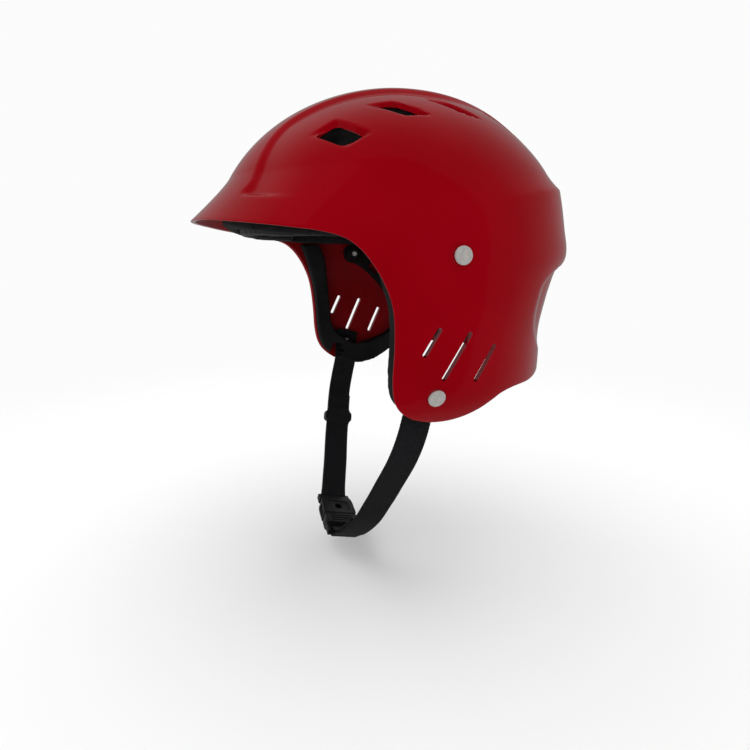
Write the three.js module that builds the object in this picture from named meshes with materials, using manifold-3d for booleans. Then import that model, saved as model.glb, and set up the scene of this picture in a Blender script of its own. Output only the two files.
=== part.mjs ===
// Full-cut water rescue helmet: hard shell with ear pieces, foam liner, comfort pads, an
// adjustable nape cradle with a dial, and a chin strap with a slider and a side-release buckle.
// Millimetres. +Z is up, the face looks along -Y, and +X is the wearer's left.
// The origin is midway between the two temple screws.
import * as THREE from 'three';
import { mergeVertices } from 'three/addons/utils/BufferGeometryUtils.js';
import { ConvexGeometry } from 'three/addons/geometries/ConvexGeometry.js';
import Module from 'manifold-3d';

const wasm = await Module();
wasm.setup();

// ---------------------------------------------------------------- driving dimensions
const HALF_WIDTH = 112;        // shell, centre plane to outer face at the temple screws
const CROWN_HEIGHT = 113;      // outer face at the top
const FRONT_REACH = 128.7;     // outer face ahead of the section centre at z = 0
const REAR_REACH = 128.8;      // outer face behind the section centre at z = 0
const SECTION_CENTRE_Y = -1;
const SECTION_POWER = 2.13;    // superellipse exponent of every level section
const SIDE_POWER = 2.35;       // dome profile exponents, seen from the front and from the side
const FRONT_POWER = 2.05;
const BACK_POWER = 1.98;
const SHELL_THICKNESS = 4;
const BRIM_FLARE = 16;         // how far the brim turns out past the dome
const BRIM_TOP_Z = 50;
const BRIM_EDGE_Z = 21;
const BRIM_DROP_LIMIT = 1.3;   // share of the brim's drop after which it turns out no further
const RIDGE_HEIGHT = 3.4;      // ledge round the back of the head

const LINER_OUTER_INSET = 4.7; // depths below the outer face
const LINER_INNER_INSET = 16;
const PAD_OUTER_INSET = 16.5;
const PAD_INNER_INSET = 24;
const EAR_PAD_INNER_INSET = 15;
const FOAM_SPLIT_GAP = 1;      // between neighbouring foam segments

const SCREW_HEAD_RADIUS = 5.4;
const SCREW_SHANK_RADIUS = 2.2;
const SCREW_HOLE_RADIUS = 2.6;
const STRAP_PIVOT_Y = -10;     // chin strap rivets, on one line along X
const STRAP_PIVOT_Z = -82.5;
const RIVET_CLEARANCE = 6.6;   // radius of the hole in the ear pad
const RIVET_HEAD_X = 102.4;    // where the rivet's axis leaves the shell
const RIVET_TILT = THREE.MathUtils.degToRad(18);
const WASHER_X = 93.1;         // under the webbing, on the rivet's inner end

const WEB_WIDTH = 20;          // chin strap webbing
const WEB_THICKNESS = 1.6;
const WEB_LAYER_PITCH = 2.3;   // between two layers lying together
const STRAP_LEAN = THREE.MathUtils.degToRad(13.5);   // the loop hangs forward of plumb
const STRAP_SWING = THREE.MathUtils.degToRad(14);    // room left for the swing, each way

const CRADLE_HEIGHT = 15;      // width of the nape cradle's arms
const CRADLE_THICKNESS = 2.2;
const PINION_RADIUS = 5;

const COLUMNS = 40;            // facets round a dome
const LOWER_ROWS = 8;
const UPPER_ROWS = 11;
const DOME_FLOOR_Z = -110;

// level sections below the temple: height, half width, rear reach
const LOWER_SECTIONS = [
  [0, HALF_WIDTH, REAR_REACH], [-15, 113, 120], [-30, 113.3, 113.2], [-55, 109, 108.1],
  [-80, 103.3, 109.2], [-91, 98.9, 109.5], [-102, 91.5, 109.5], [-113, 83, 109.5],
];

// ---------------------------------------------------------------- colours
const materials = {
  shell: new THREE.MeshStandardMaterial({ color: 0x8f0012, roughness: 0.12, metalness: 0 }),
  foam: new THREE.MeshStandardMaterial({ color: 0x1d1f1f, roughness: 0.85, metalness: 0 }),
  pad: new THREE.MeshStandardMaterial({ color: 0x17181a, roughness: 0.95, metalness: 0 }),
  steel: new THREE.MeshStandardMaterial({ color: 0xb5b2ad, roughness: 0.35, metalness: 1 }),
  nylon: new THREE.MeshStandardMaterial({ color: 0x141415, roughness: 0.45, metalness: 0 }),
  webbing: new THREE.MeshStandardMaterial({ color: 0x17171b, roughness: 0.9, metalness: 0 }),
};

const helmet = new THREE.Group();

// ---------------------------------------------------------------- solids
function solidOf(geometry) {
  const bare = geometry.clone();
  bare.deleteAttribute('normal');
  bare.deleteAttribute('uv');
  const merged = mergeVertices(bare, 1e-4);
  const vertProperties = new Float32Array(merged.attributes.position.array);
  const triVerts = new Uint32Array(merged.index.array);
  return new wasm.Manifold(new wasm.Mesh({ numProp: 3, vertProperties, triVerts }));
}

function geometryOf(solid) {
  const mesh = solid.getMesh();
  const geometry = new THREE.BufferGeometry();
  geometry.setAttribute('position', new THREE.BufferAttribute(new Float32Array(mesh.vertProperties), 3));
  geometry.setIndex(new THREE.BufferAttribute(new Uint32Array(mesh.triVerts), 1));
  geometry.computeVertexNormals();
  return geometry;
}

function addPart(name, geometry, material, parent = helmet) {
  const mesh = new THREE.Mesh(geometry, material);
  mesh.name = name;
  parent.add(mesh);
  return mesh;
}

function mirrored(geometry) {
  const copy = geometry.clone().applyMatrix4(new THREE.Matrix4().makeScale(-1, 1, 1));
  const flat = copy.index ? copy.toNonIndexed() : copy;
  const position = flat.attributes.position;
  for (let i = 0; i < position.count; i += 3) {
    const b = new THREE.Vector3().fromBufferAttribute(position, i + 1);
    const c = new THREE.Vector3().fromBufferAttribute(position, i + 2);
    position.setXYZ(i + 1, c.x, c.y, c.z);
    position.setXYZ(i + 2, b.x, b.y, b.z);
  }
  flat.deleteAttribute('normal');
  return mergeVertices(flat, 1e-4);
}

function boxBetween(low, high) {
  const size = high.map((value, i) => value - low[i]);
  const geometry = new THREE.BoxGeometry(...size);
  return geometry.translate(...low.map((value, i) => value + size[i] / 2));
}

// an outline drawn in (y, z), extruded along X
function sidePrism(outline, x0 = -170, x1 = 170) {
  const geometry = new THREE.ExtrudeGeometry(new THREE.Shape(outline), {
    depth: x1 - x0, bevelEnabled: false, curveSegments: 6,
  });
  const basis = new THREE.Matrix4().makeBasis(
    new THREE.Vector3(0, 1, 0), new THREE.Vector3(0, 0, 1), new THREE.Vector3(1, 0, 0));
  return geometry.applyMatrix4(basis).translate(x0, 0, 0);
}

// a cylinder along X between two stations
function rod(radius, x0, x1, y = 0, z = 0, sides = 20) {
  const geometry = new THREE.CylinderGeometry(radius, radius, x1 - x0, sides);
  return geometry.rotateZ(-Math.PI / 2).translate((x0 + x1) / 2, y, z);
}

// ---------------------------------------------------------------- the helmet's surface
function smoothStep(t) {
  const c = Math.min(Math.max(t, 0), 1);
  return c * c * (3 - 2 * c);
}

// a smooth curve through one column of the lower sections
function lowerSection(z, column) {
  const rows = LOWER_SECTIONS;
  let i = 0;
  while (i < rows.length - 2 && z < rows[i + 1][0]) {
    i += 1;
  }
  const slopeAt = (k) => {
    const before = rows[Math.max(k - 1, 0)];
    const after = rows[Math.min(k + 1, rows.length - 1)];
    return k === 0 ? 0 : (after[column] - before[column]) / (after[0] - before[0]);
  };
  const span = rows[i + 1][0] - rows[i][0];
  const t = (z - rows[i][0]) / span;
  const h = t * t * (3 - 2 * t);
  return rows[i][column] * (1 - h) + rows[i + 1][column] * h
    + span * (t * (1 - t) ** 2 * slopeAt(i) - t * t * (1 - t) * slopeAt(i + 1));
}

function domeProfile(reach, z, inset, power) {
  const top = CROWN_HEIGHT - inset;
  return (reach - inset) * Math.max(1 - (z / top) ** power, 0) ** (1 / power);
}

function sectionAt(z, inset) {
  if (z < 0) {
    return {
      side: lowerSection(z, 1) - inset,
      front: FRONT_REACH - inset,
      rear: lowerSection(z, 2) - inset,
    };
  }
  return {
    side: domeProfile(HALF_WIDTH, z, inset, SIDE_POWER),
    front: domeProfile(FRONT_REACH, z, inset, FRONT_POWER),
    rear: domeProfile(REAR_REACH, z, inset, BACK_POWER),
  };
}

// outward swell over the plain dome: the brim in front and the ledge behind
function swell(angle, y, z, flare) {
  const forward = Math.cos(angle);
  if (forward > 0) {
    const drop = (BRIM_TOP_Z - z) / (BRIM_TOP_Z - BRIM_EDGE_Z);
    return flare * Math.min(Math.max(drop, 0), BRIM_DROP_LIMIT) ** 1.5 * forward ** 1.5;
  }
  const fade = smoothStep((y - 8) / 85);
  const ridgeZ = 25.5 + 0.24 * y - 0.0005 * y * y;
  const above = z - ridgeZ;
  const ledge = above > 0 ? Math.max(1 - above / 12, 0) ** 2 : Math.max(1 + above / 34, 0) ** 2;
  const dip = 1.8 * Math.exp(-(((z - 80) / 16) ** 2));
  return fade * (RIDGE_HEIGHT * ledge - dip);
}

// angle runs from the front (-Y) round by the wearer's left (+X)
function surfacePoint(angle, z, inset, flare = BRIM_FLARE) {
  const section = sectionAt(z, inset);
  const power = 2 / SECTION_POWER;
  const s = Math.sin(angle);
  const c = Math.cos(angle);
  const x = section.side * Math.sign(s) * Math.abs(s) ** power;
  const reach = c > 0 ? section.front : section.rear;
  const y = -reach * Math.sign(c) * Math.abs(c) ** power;
  const radius = Math.hypot(x, y);
  const grown = radius > 1 ? 1 + swell(angle, y, z, flare) / radius : 1;
  return new THREE.Vector3(x * grown, SECTION_CENTRE_Y + y * grown, z);
}

function rowHeights(inset) {
  const top = CROWN_HEIGHT - inset;
  const heights = [];
  for (let i = 0; i < LOWER_ROWS; i += 1) {
    heights.push(DOME_FLOOR_Z * (1 - i / LOWER_ROWS));
  }
  for (let i = 0; i < UPPER_ROWS; i += 1) {
    heights.push(top * Math.sin((i / UPPER_ROWS) * Math.PI / 2));
  }
  return heights;
}

// the whole closed dome at one depth below the outer face, with or without the brim's flare
function dome(inset, flare, floorDrop = 0) {
  const heights = rowHeights(inset);
  const points = [];
  heights.forEach((z, row) => {
    for (let k = 0; k < COLUMNS; k += 1) {
      const point = surfacePoint((k / COLUMNS) * 2 * Math.PI, z, inset, flare);
      points.push(point.x, point.y, row === 0 ? z - floorDrop : z);
    }
  });
  const base = points.length / 3;
  points.push(0, SECTION_CENTRE_Y, DOME_FLOOR_Z - floorDrop);
  points.push(0, SECTION_CENTRE_Y, CROWN_HEIGHT - inset);
  const faces = [];
  const at = (row, k) => row * COLUMNS + (k % COLUMNS);
  for (let row = 0; row < heights.length - 1; row += 1) {
    for (let k = 0; k < COLUMNS; k += 1) {
      faces.push(at(row, k), at(row, k + 1), at(row + 1, k + 1));
      faces.push(at(row, k), at(row + 1, k + 1), at(row + 1, k));
    }
  }
  for (let k = 0; k < COLUMNS; k += 1) {
    faces.push(at(0, k + 1), at(0, k), base);
    faces.push(at(heights.length - 1, k), at(heights.length - 1, k + 1), base + 1);
  }
  const geometry = new THREE.BufferGeometry();
  geometry.setAttribute('position', new THREE.Float32BufferAttribute(points, 3));
  geometry.setIndex(faces);
  return solidOf(geometry);
}

function layer(outerInset, innerInset, flare = BRIM_FLARE) {
  return dome(outerInset, flare).subtract(dome(innerInset, flare, 1));
}

// height of the plain dome above a point of the plan, and its outward normal there
function heightAt(x, y, inset) {
  let low = 0;
  let high = CROWN_HEIGHT - inset;
  for (let i = 0; i < 40; i += 1) {
    const z = (low + high) / 2;
    const section = sectionAt(z, inset);
    const reach = y < SECTION_CENTRE_Y ? section.front : section.rear;
    const sum = (Math.abs(x) / section.side) ** SECTION_POWER
      + (Math.abs(y - SECTION_CENTRE_Y) / reach) ** SECTION_POWER;
    if (sum < 1) {
      low = z;
    } else {
      high = z;
    }
  }
  return low;
}

function tangentAt(x, y, heading) {
  const step = 0.5;
  const dx = Math.cos(heading);
  const dy = Math.sin(heading);
  const rise = heightAt(x + dx * step, y + dy * step, 0) - heightAt(x - dx * step, y - dy * step, 0);
  return new THREE.Vector3(dx, dy, rise / (2 * step)).normalize();
}

// ---------------------------------------------------------------- shell
const RIM = [
  [-165, 22.5], [-140, 21.2], [-118, 18.3], [-95, 15.3], [-78, 12.8], [-66, 9.3], [-58.5, 4],
  [-52.5, -3], [-46.5, -13], [-41.8, -25], [-39.6, -38], [-38.6, -54], [-38.3, -70], [-36.2, -82],
  [-31.2, -90.3], [-22, -97], [-10, -101], [1, -101.8], [12, -100], [22, -96], [31, -90.5],
  [39, -86], [51, -83.8], [70, -83.6], [90, -81], [112, -77.5], [140, -75], [165, -75],
];

function rimPoints(divisions) {
  const curve = new THREE.SplineCurve(RIM.map(([y, z]) => new THREE.Vector2(y, z)));
  return curve.getPoints(divisions);
}

const VENTS = [
  { x: 80.2, y: -62, heading: 41, length: 21, width: 15 },
  { x: 78.8, y: -26, heading: 50, length: 21, width: 14.5 },
  { x: 74.4, y: 13, heading: 57, length: 19, width: 13 },
  { x: 64.8, y: 55, heading: 64, length: 17.5, width: 11.5 },
];
const VENT_SHORT_HEADING = 86;

// a vent's cutter: a parallelogram standing on the surface, through the wall and the liner
function ventCutter(vent, margin) {
  const centre = new THREE.Vector3(vent.x, vent.y, heightAt(vent.x, vent.y, 0));
  const long = tangentAt(vent.x, vent.y, THREE.MathUtils.degToRad(vent.heading));
  const short = tangentAt(vent.x, vent.y, THREE.MathUtils.degToRad(VENT_SHORT_HEADING));
  const normal = new THREE.Vector3().crossVectors(long, short).normalize();
  const corners = [];
  for (const [i, j, depth] of [-1, 1].flatMap((a) => [-1, 1].flatMap((b) => [[a, b, 10], [a, b, -24]]))) {
    corners.push(centre.clone()
      .addScaledVector(long, i * (vent.length / 2 + margin))
      .addScaledVector(short, j * (vent.width / 2 + margin))
      .addScaledVector(normal, depth));
  }
  return new ConvexGeometry(corners);
}

// ear slots: upper and lower end of each, in the side view
const EAR_SLOTS = [
  { top: [-12.3, -40.1], bottom: [-21.1, -56.7] },
  { top: [7.4, -43.4], bottom: [-7.3, -72.1] },
  { top: [25.7, -52.1], bottom: [14.3, -74.7] },
];
const SLOT_WIDTH = 3.2;

function slotOutline(slot) {
  const top = new THREE.Vector2(...slot.top);
  const bottom = new THREE.Vector2(...slot.bottom);
  const along = bottom.clone().sub(top).normalize();
  const turn = Math.atan2(along.y, along.x);
  const radius = SLOT_WIDTH / 2;
  const outline = [];
  for (const [end, inward, start] of [[top, 1, turn + Math.PI / 2], [bottom, -1, turn - Math.PI / 2]]) {
    for (let i = 0; i <= 4; i += 1) {
      const angle = start + (i / 4) * Math.PI;
      outline.push(new THREE.Vector2(
        end.x + inward * along.x * radius + Math.cos(angle) * radius,
        end.y + inward * along.y * radius + Math.sin(angle) * radius));
    }
  }
  return outline;
}

function bothSides(solid, cutter) {
  return solid.subtract(solidOf(cutter)).subtract(solidOf(mirrored(cutter)));
}

function buildShell() {
  const above = [...rimPoints(72), new THREE.Vector2(165, 140), new THREE.Vector2(-165, 140)];
  let shell = layer(0, SHELL_THICKNESS).intersect(solidOf(sidePrism(above)));
  for (const vent of VENTS) {
    shell = bothSides(shell, ventCutter(vent, 0));
  }
  for (const slot of EAR_SLOTS) {
    shell = bothSides(shell, sidePrism(slotOutline(slot), 60, 150));
  }
  shell = bothSides(shell, rod(SCREW_HOLE_RADIUS, 90, 130, 0, 0, 16));
  shell = bothSides(shell, rod(SCREW_HOLE_RADIUS, 85, 130, STRAP_PIVOT_Y, STRAP_PIVOT_Z, 16));
  addPart('shell', geometryOf(shell), materials.shell);
}

// ---------------------------------------------------------------- foam liner and pads
const FRONT_SPLIT_Y = -78;
const REAR_SPLIT_Y = 87;
const CROWN_SPLIT_X = 57;
// lower edge of the liner, in the side view
const LINER_EDGE = [
  [-165, 26], [-125, 20.4], [-112, 15.8], [-90, 12.2], [-60, 10.2], [-30, 9], [REAR_SPLIT_Y, 9],
];

function cutBox(solid, low, high) {
  return solid.intersect(solidOf(boxBetween(low, high)));
}

function buildLiner() {
  const edge = LINER_EDGE.map(([y, z]) => new THREE.Vector2(y, z));
  const above = [...edge, new THREE.Vector2(REAR_SPLIT_Y, -25), new THREE.Vector2(165, -25),
    new THREE.Vector2(165, 140), new THREE.Vector2(-165, 140)];
  let foam = layer(LINER_OUTER_INSET, LINER_INNER_INSET, 0).intersect(solidOf(sidePrism(above)));
  for (const vent of VENTS) {
    foam = bothSides(foam, ventCutter(vent, 1.2));
  }
  const half = FOAM_SPLIT_GAP / 2;
  const front = cutBox(foam, [-170, -170, -40], [170, FRONT_SPLIT_Y - half, 140]);
  const rear = cutBox(foam, [-170, REAR_SPLIT_Y + half, -40], [170, 170, 140]);
  const crown = cutBox(foam, [-CROWN_SPLIT_X + half, FRONT_SPLIT_Y + half, 20],
    [CROWN_SPLIT_X - half, REAR_SPLIT_Y - half, 140]);
  const left = cutBox(foam, [CROWN_SPLIT_X + half, FRONT_SPLIT_Y + half, 0],
    [170, REAR_SPLIT_Y - half, 140]);
  addPart('liner_front', geometryOf(front), materials.foam);
  addPart('liner_rear', geometryOf(rear), materials.foam);
  addPart('liner_crown', geometryOf(crown), materials.foam);
  addPart('liner_left', geometryOf(left), materials.foam);
  addPart('liner_right', mirrored(geometryOf(left)), materials.foam);
}

function outline(...points) {
  return points.map(([y, z]) => new THREE.Vector2(y, z));
}

function buildPads() {
  const pads = layer(PAD_OUTER_INSET, PAD_INNER_INSET, 0);
  const brow = outline([-165, 16], [-119, 13.6], [-90, 11], [-60, 9.2], [-60, 36], [-165, 44]);
  const side = outline([-38, 22], [40, 22], [36, 50], [-34, 50]);
  const rear = outline([62, 12], [165, 12], [165, 46], [62, 46]);
  const crown = boxBetween([-38, -44, 60], [38, 50, 140]);
  addPart('brow_pad', geometryOf(pads.intersect(solidOf(sidePrism(brow)))), materials.pad);
  const sidePad = geometryOf(pads.intersect(solidOf(sidePrism(side, 40, 170))));
  addPart('side_pad_left', sidePad, materials.pad);
  addPart('side_pad_right', mirrored(sidePad), materials.pad);
  addPart('rear_pad', geometryOf(pads.intersect(solidOf(sidePrism(rear)))), materials.pad);
  addPart('crown_pad', geometryOf(pads.intersect(solidOf(crown))), materials.pad);
}

// room that the webbing needs behind the ear pad, over its whole swing
function strapPocket() {
  const points = [];
  const halfWidth = WEB_WIDTH / 2 + 0.8;
  for (const swing of [-STRAP_SWING, 0, STRAP_SWING]) {
    const lean = STRAP_LEAN + swing;
    for (const [x, down] of STRAP_DROP.slice(0, 7)) {
      for (const across of [-halfWidth, halfWidth]) {
        const y = STRAP_PIVOT_Y - down * Math.sin(lean) + across * Math.cos(lean);
        const z = STRAP_PIVOT_Z - down * Math.cos(lean) - across * Math.sin(lean);
        points.push(new THREE.Vector3(x - WEB_THICKNESS / 2 - 0.8, y, z));
        points.push(new THREE.Vector3(120, y, z));
      }
    }
  }
  return new ConvexGeometry(points);
}

// the ear pad follows the rim, a little inside it; this is its inner edge in the side view
const EAR_PAD_INSIDE = [
  [45, -64], [34.5, -70.8], [26, -76.7], [15.5, -81], [5, -83.7], [-4, -83.2], [-13, -78.5],
  [-21, -71.3], [-24.7, -60], [-25.1, -44], [-26.3, -25], [-28.5, -6.4], [-33.6, 8.2],
];

const EAR_PAD_TOP_Z = 8.2;
const EAR_PAD_MARGIN = 1.6;       // from the shell's rim to the pad
const EAR_PAD_TOP_MARGIN = 8.5;   // more of it at the top, where the pad leaves the rim
const EAR_PAD_NARROW_Z = -22;     // below this the margin is the plain one

function buildEarPads() {
  const rim = rimPoints(72).filter((p) => p.x > -64.5 && p.y < EAR_PAD_TOP_Z && p.x < 45);
  const edge = rim.map((p, i) => {
    const before = rim[Math.max(i - 1, 0)];
    const after = rim[Math.min(i + 1, rim.length - 1)];
    const along = after.clone().sub(before).normalize();
    const rise = Math.max(0, (p.y - EAR_PAD_NARROW_Z) / (EAR_PAD_TOP_Z - EAR_PAD_NARROW_Z));
    const margin = EAR_PAD_MARGIN + EAR_PAD_TOP_MARGIN * rise ** 1.5;
    return new THREE.Vector2(p.x - along.y * margin, p.y + along.x * margin);
  });
  const inside = new THREE.SplineCurve(EAR_PAD_INSIDE.map(([y, z]) => new THREE.Vector2(y, z)));
  const band = [...edge, ...inside.getPoints(30)];
  let pad = layer(LINER_OUTER_INSET, EAR_PAD_INNER_INSET).intersect(solidOf(sidePrism(band, 40, 170)));
  pad = pad.subtract(solidOf(boxBetween([40, -80, EAR_PAD_TOP_Z], [170, 60, 40])));
  pad = pad.subtract(solidOf(strapPocket()));
  pad = pad.subtract(solidOf(rod(RIVET_CLEARANCE, 90.2, 120, STRAP_PIVOT_Y, STRAP_PIVOT_Z, 20)));
  const geometry = geometryOf(pad);
  addPart('ear_pad_left', geometry, materials.foam);
  addPart('ear_pad_right', mirrored(geometry), materials.foam);
}

// ---------------------------------------------------------------- fasteners
const ARM_X0 = 103.6;          // inner face of the cradle arm's eye
const ARM_X1 = 106.6;
const ARM_EYE_RADIUS = 9;
const BOSS_X0 = 98.8;          // inner and outer face of the boss inside the arm's eye
const BOSS_X1 = 103.2;
const BOSS_RADIUS = 6.8;
const HEAD_CHAMFER = 0.7;      // round the rim of the screw and rivet heads
const WASHER_RADIUS = 5.2;
const WASHER_THICKNESS = 1.5;

function latheAlongX(profile, sides = 16) {
  const points = profile.map(([x, radius]) => new THREE.Vector2(radius, x));
  return new THREE.LatheGeometry(points, sides).rotateZ(-Math.PI / 2);
}

function buildTempleScrews() {
  const seat = HALF_WIDTH + 1;
  const tip = BOSS_X0 - 0.2;
  const head = latheAlongX([[tip, 0], [tip, SCREW_SHANK_RADIUS], [seat, SCREW_SHANK_RADIUS],
    [seat, SCREW_HEAD_RADIUS], [seat + 1, SCREW_HEAD_RADIUS],
    [seat + 1.6, SCREW_HEAD_RADIUS - HEAD_CHAMFER], [seat + 1.6, 0]], 24);
  const bore = SCREW_SHANK_RADIUS + 0.4;
  const boss = latheAlongX([[BOSS_X0, bore], [BOSS_X0, BOSS_RADIUS - 1.4], [BOSS_X0 + 2.2, BOSS_RADIUS],
    [BOSS_X1, BOSS_RADIUS], [BOSS_X1, bore], [BOSS_X0, bore]]);
  addPart('temple_screw_left', head, materials.steel);
  addPart('temple_screw_right', mirrored(head), materials.steel);
  addPart('temple_boss_left', boss, materials.nylon);
  addPart('temple_boss_right', mirrored(boss), materials.nylon);
}

function buildStrapRivets() {
  const head = latheAlongX([[0.5, 0], [0.5, SCREW_HEAD_RADIUS], [1.5, SCREW_HEAD_RADIUS],
    [2.1, SCREW_HEAD_RADIUS - HEAD_CHAMFER], [2.1, 0]], 24);
  head.rotateY(RIVET_TILT).translate(RIVET_HEAD_X, STRAP_PIVOT_Y, STRAP_PIVOT_Z);
  const shank = rod(SCREW_SHANK_RADIUS, WASHER_X - 2, RIVET_HEAD_X + 1.2, STRAP_PIVOT_Y, STRAP_PIVOT_Z, 16);
  const rivet = geometryOf(solidOf(head).add(solidOf(shank)));
  const bore = SCREW_SHANK_RADIUS + 0.6;
  const back = -WASHER_THICKNESS;
  const washer = latheAlongX([[back, bore], [back, WASHER_RADIUS - 0.6], [back + 0.6, WASHER_RADIUS],
    [0, WASHER_RADIUS], [0, bore], [back, bore]]);
  washer.rotateY(RIVET_TILT).translate(WASHER_X, STRAP_PIVOT_Y, STRAP_PIVOT_Z);
  addPart('strap_rivet_left', rivet, materials.steel);
  addPart('strap_rivet_right', mirrored(rivet), materials.steel);
  addPart('strap_washer_left', washer, materials.nylon);
  addPart('strap_washer_right', mirrored(washer), materials.nylon);
}

// ---------------------------------------------------------------- nape cradle
// centre line of an arm in the side view, from the temple boss back and down
const ARM_LINE = [[0, 0], [14, -8], [27, -21], [38, -37], [49, -50], [61, -59], [74, -63]];
const YOKE_Z = -63;
const YOKE_HALF_WIDTH = 87;
const YOKE_REACH = 80;         // behind the section centre
const ARM_INSET = [6.9, 18];   // below the shell's outer face, at the temple and at the nape
const ARM_TUCK = 5.5;          // how much more the arms turn in behind
const ARM_WINDOW = [11, 6, 10];         // along the arm, across it and through it
const YOKE_WINDOW = [18, 10, 10];
const YOKE_WIDTH = 20;
const YOKE_THICKNESS = 3;
const YOKE_SPREAD = 62;        // degrees either side of the middle
const NAPE_PAD_WIDTH = 26;
const NAPE_PAD_THICKNESS = 6;
const NAPE_PAD_SPREAD = 40;
const NAPE_PAD_INSET = 5.2;    // from the yoke's centre line to the pad's

// a flat bar bent along a path; across is its width direction and out its thickness direction
function bentBar(stations, width, thickness) {
  const points = [];
  for (const { centre, across, out } of stations) {
    for (const [i, j] of [[-1, -1], [1, -1], [1, 1], [-1, 1]]) {
      const corner = centre.clone().addScaledVector(across, i * width / 2);
      corner.addScaledVector(out, j * thickness / 2);
      points.push(corner.x, corner.y, corner.z);
    }
  }
  const faces = [0, 2, 1, 0, 3, 2];
  const last = (stations.length - 1) * 4;
  faces.push(last, last + 1, last + 2, last, last + 2, last + 3);
  for (let s = 0; s < stations.length - 1; s += 1) {
    for (let k = 0; k < 4; k += 1) {
      const a = s * 4 + k;
      const b = s * 4 + ((k + 1) % 4);
      faces.push(a, b, b + 4, a, b + 4, a + 4);
    }
  }
  const geometry = new THREE.BufferGeometry();
  geometry.setAttribute('position', new THREE.Float32BufferAttribute(points, 3));
  geometry.setIndex(faces);
  let solid = solidOf(geometry);
  if (solid.volume() < 0) {
    geometry.setIndex(faces.map((_, i) => faces[i - (i % 3) + [0, 2, 1][i % 3]]));
    solid = solidOf(geometry);
  }
  return solid;
}

// adds the directions across and out of a level or falling path of centres
function withDirections(centres) {
  return centres.map((centre, i) => {
    const before = centres[Math.max(i - 1, 0)];
    const after = centres[Math.min(i + 1, centres.length - 1)];
    const along = after.clone().sub(before).normalize();
    const level = new THREE.Vector3(along.y, -along.x, 0).normalize();
    const out = level.addScaledVector(along, -level.dot(along)).normalize();
    const across = new THREE.Vector3().crossVectors(out, along);
    return { centre, across, out };
  });
}

function armStations() {
  const curve = new THREE.SplineCurve(ARM_LINE.map(([y, z]) => new THREE.Vector2(y, z)));
  const centres = [];
  const count = 16;
  for (let i = 0; i <= count; i += 1) {
    const p = curve.getPointAt(i / count);
    const share = smoothStep((i / count) * 1.1);
    const inset = ARM_INSET[0] + (ARM_INSET[1] - ARM_INSET[0]) * share;
    const section = sectionAt(p.y, inset);
    const rest = 1 - ((p.x - SECTION_CENTRE_Y) / (section.rear - ARM_TUCK * share)) ** SECTION_POWER;
    centres.push(new THREE.Vector3(section.side * rest ** (1 / SECTION_POWER), p.x, p.y));
  }
  return withDirections(centres);
}

// a window cut through a bent bar at one of its stations
function windowAt({ centre, across, out }, size) {
  const along = new THREE.Vector3().crossVectors(across, out);
  const window = new THREE.BoxGeometry(...size);
  window.applyMatrix4(new THREE.Matrix4().makeBasis(along, across, out.clone()));
  return solidOf(window.translate(centre.x, centre.y, centre.z));
}

function buildCradleArms() {
  const stations = armStations();
  let arm = bentBar(stations, CRADLE_HEIGHT, CRADLE_THICKNESS);
  arm = arm.add(solidOf(rod(ARM_EYE_RADIUS, ARM_X0, ARM_X1, 0, 0, 28)));
  for (const index of [4, 7, 10, 13]) {
    arm = arm.subtract(windowAt(stations[index], ARM_WINDOW));
  }
  arm = arm.subtract(solidOf(rod(SCREW_HOLE_RADIUS, 90, 120, 0, 0, 16)));
  const geometry = geometryOf(arm);
  addPart('cradle_arm_left', geometry, materials.nylon);
  addPart('cradle_arm_right', mirrored(geometry), materials.nylon);
}

// the yoke runs round the nape, just inside the ends of the arms
function yokeStations(inset, spread) {
  const centres = [];
  const count = 24;
  const power = 2 / SECTION_POWER;
  for (let i = 0; i <= count; i += 1) {
    const angle = THREE.MathUtils.degToRad(spread) * (1 - (2 * i) / count);
    const x = (YOKE_HALF_WIDTH - inset) * Math.sign(angle) * Math.abs(Math.sin(angle)) ** power;
    const y = SECTION_CENTRE_Y + (YOKE_REACH - inset) * Math.cos(angle) ** power;
    centres.push(new THREE.Vector3(x, y, YOKE_Z));
  }
  return withDirections(centres);
}

function buildYoke() {
  const stations = yokeStations(0, YOKE_SPREAD);
  let yoke = bentBar(stations, YOKE_WIDTH, YOKE_THICKNESS);
  for (const index of [6, 18]) {
    yoke = yoke.subtract(windowAt(stations[index], YOKE_WINDOW));
  }
  addPart('cradle_yoke', geometryOf(yoke), materials.nylon);
  const padStations = yokeStations(NAPE_PAD_INSET, NAPE_PAD_SPREAD);
  const pad = bentBar(padStations, NAPE_PAD_WIDTH, NAPE_PAD_THICKNESS);
  addPart('nape_pad', geometryOf(pad), materials.pad);
}

function latheAlongY(profile, sides = 20) {
  const points = profile.map(([y, radius]) => new THREE.Vector2(radius, y));
  return new THREE.LatheGeometry(points, sides);
}

const HOUSING_RADIUS = 13;
const HOUSING_HEIGHT = 3.6;
const GEAR_ROOM_RADIUS = 7;    // recess in the housing for the pinion
const PINION_TEETH = 10;
const TOOTH_HEIGHT = 0.9;      // each way from the pinion's radius
const KNOB_RADIUS = 14.4;
const KNOB_LOBES = 12;
const KNOB_WAVE = 0.7;
const KNOB_HEIGHT = 6.2;

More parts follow.
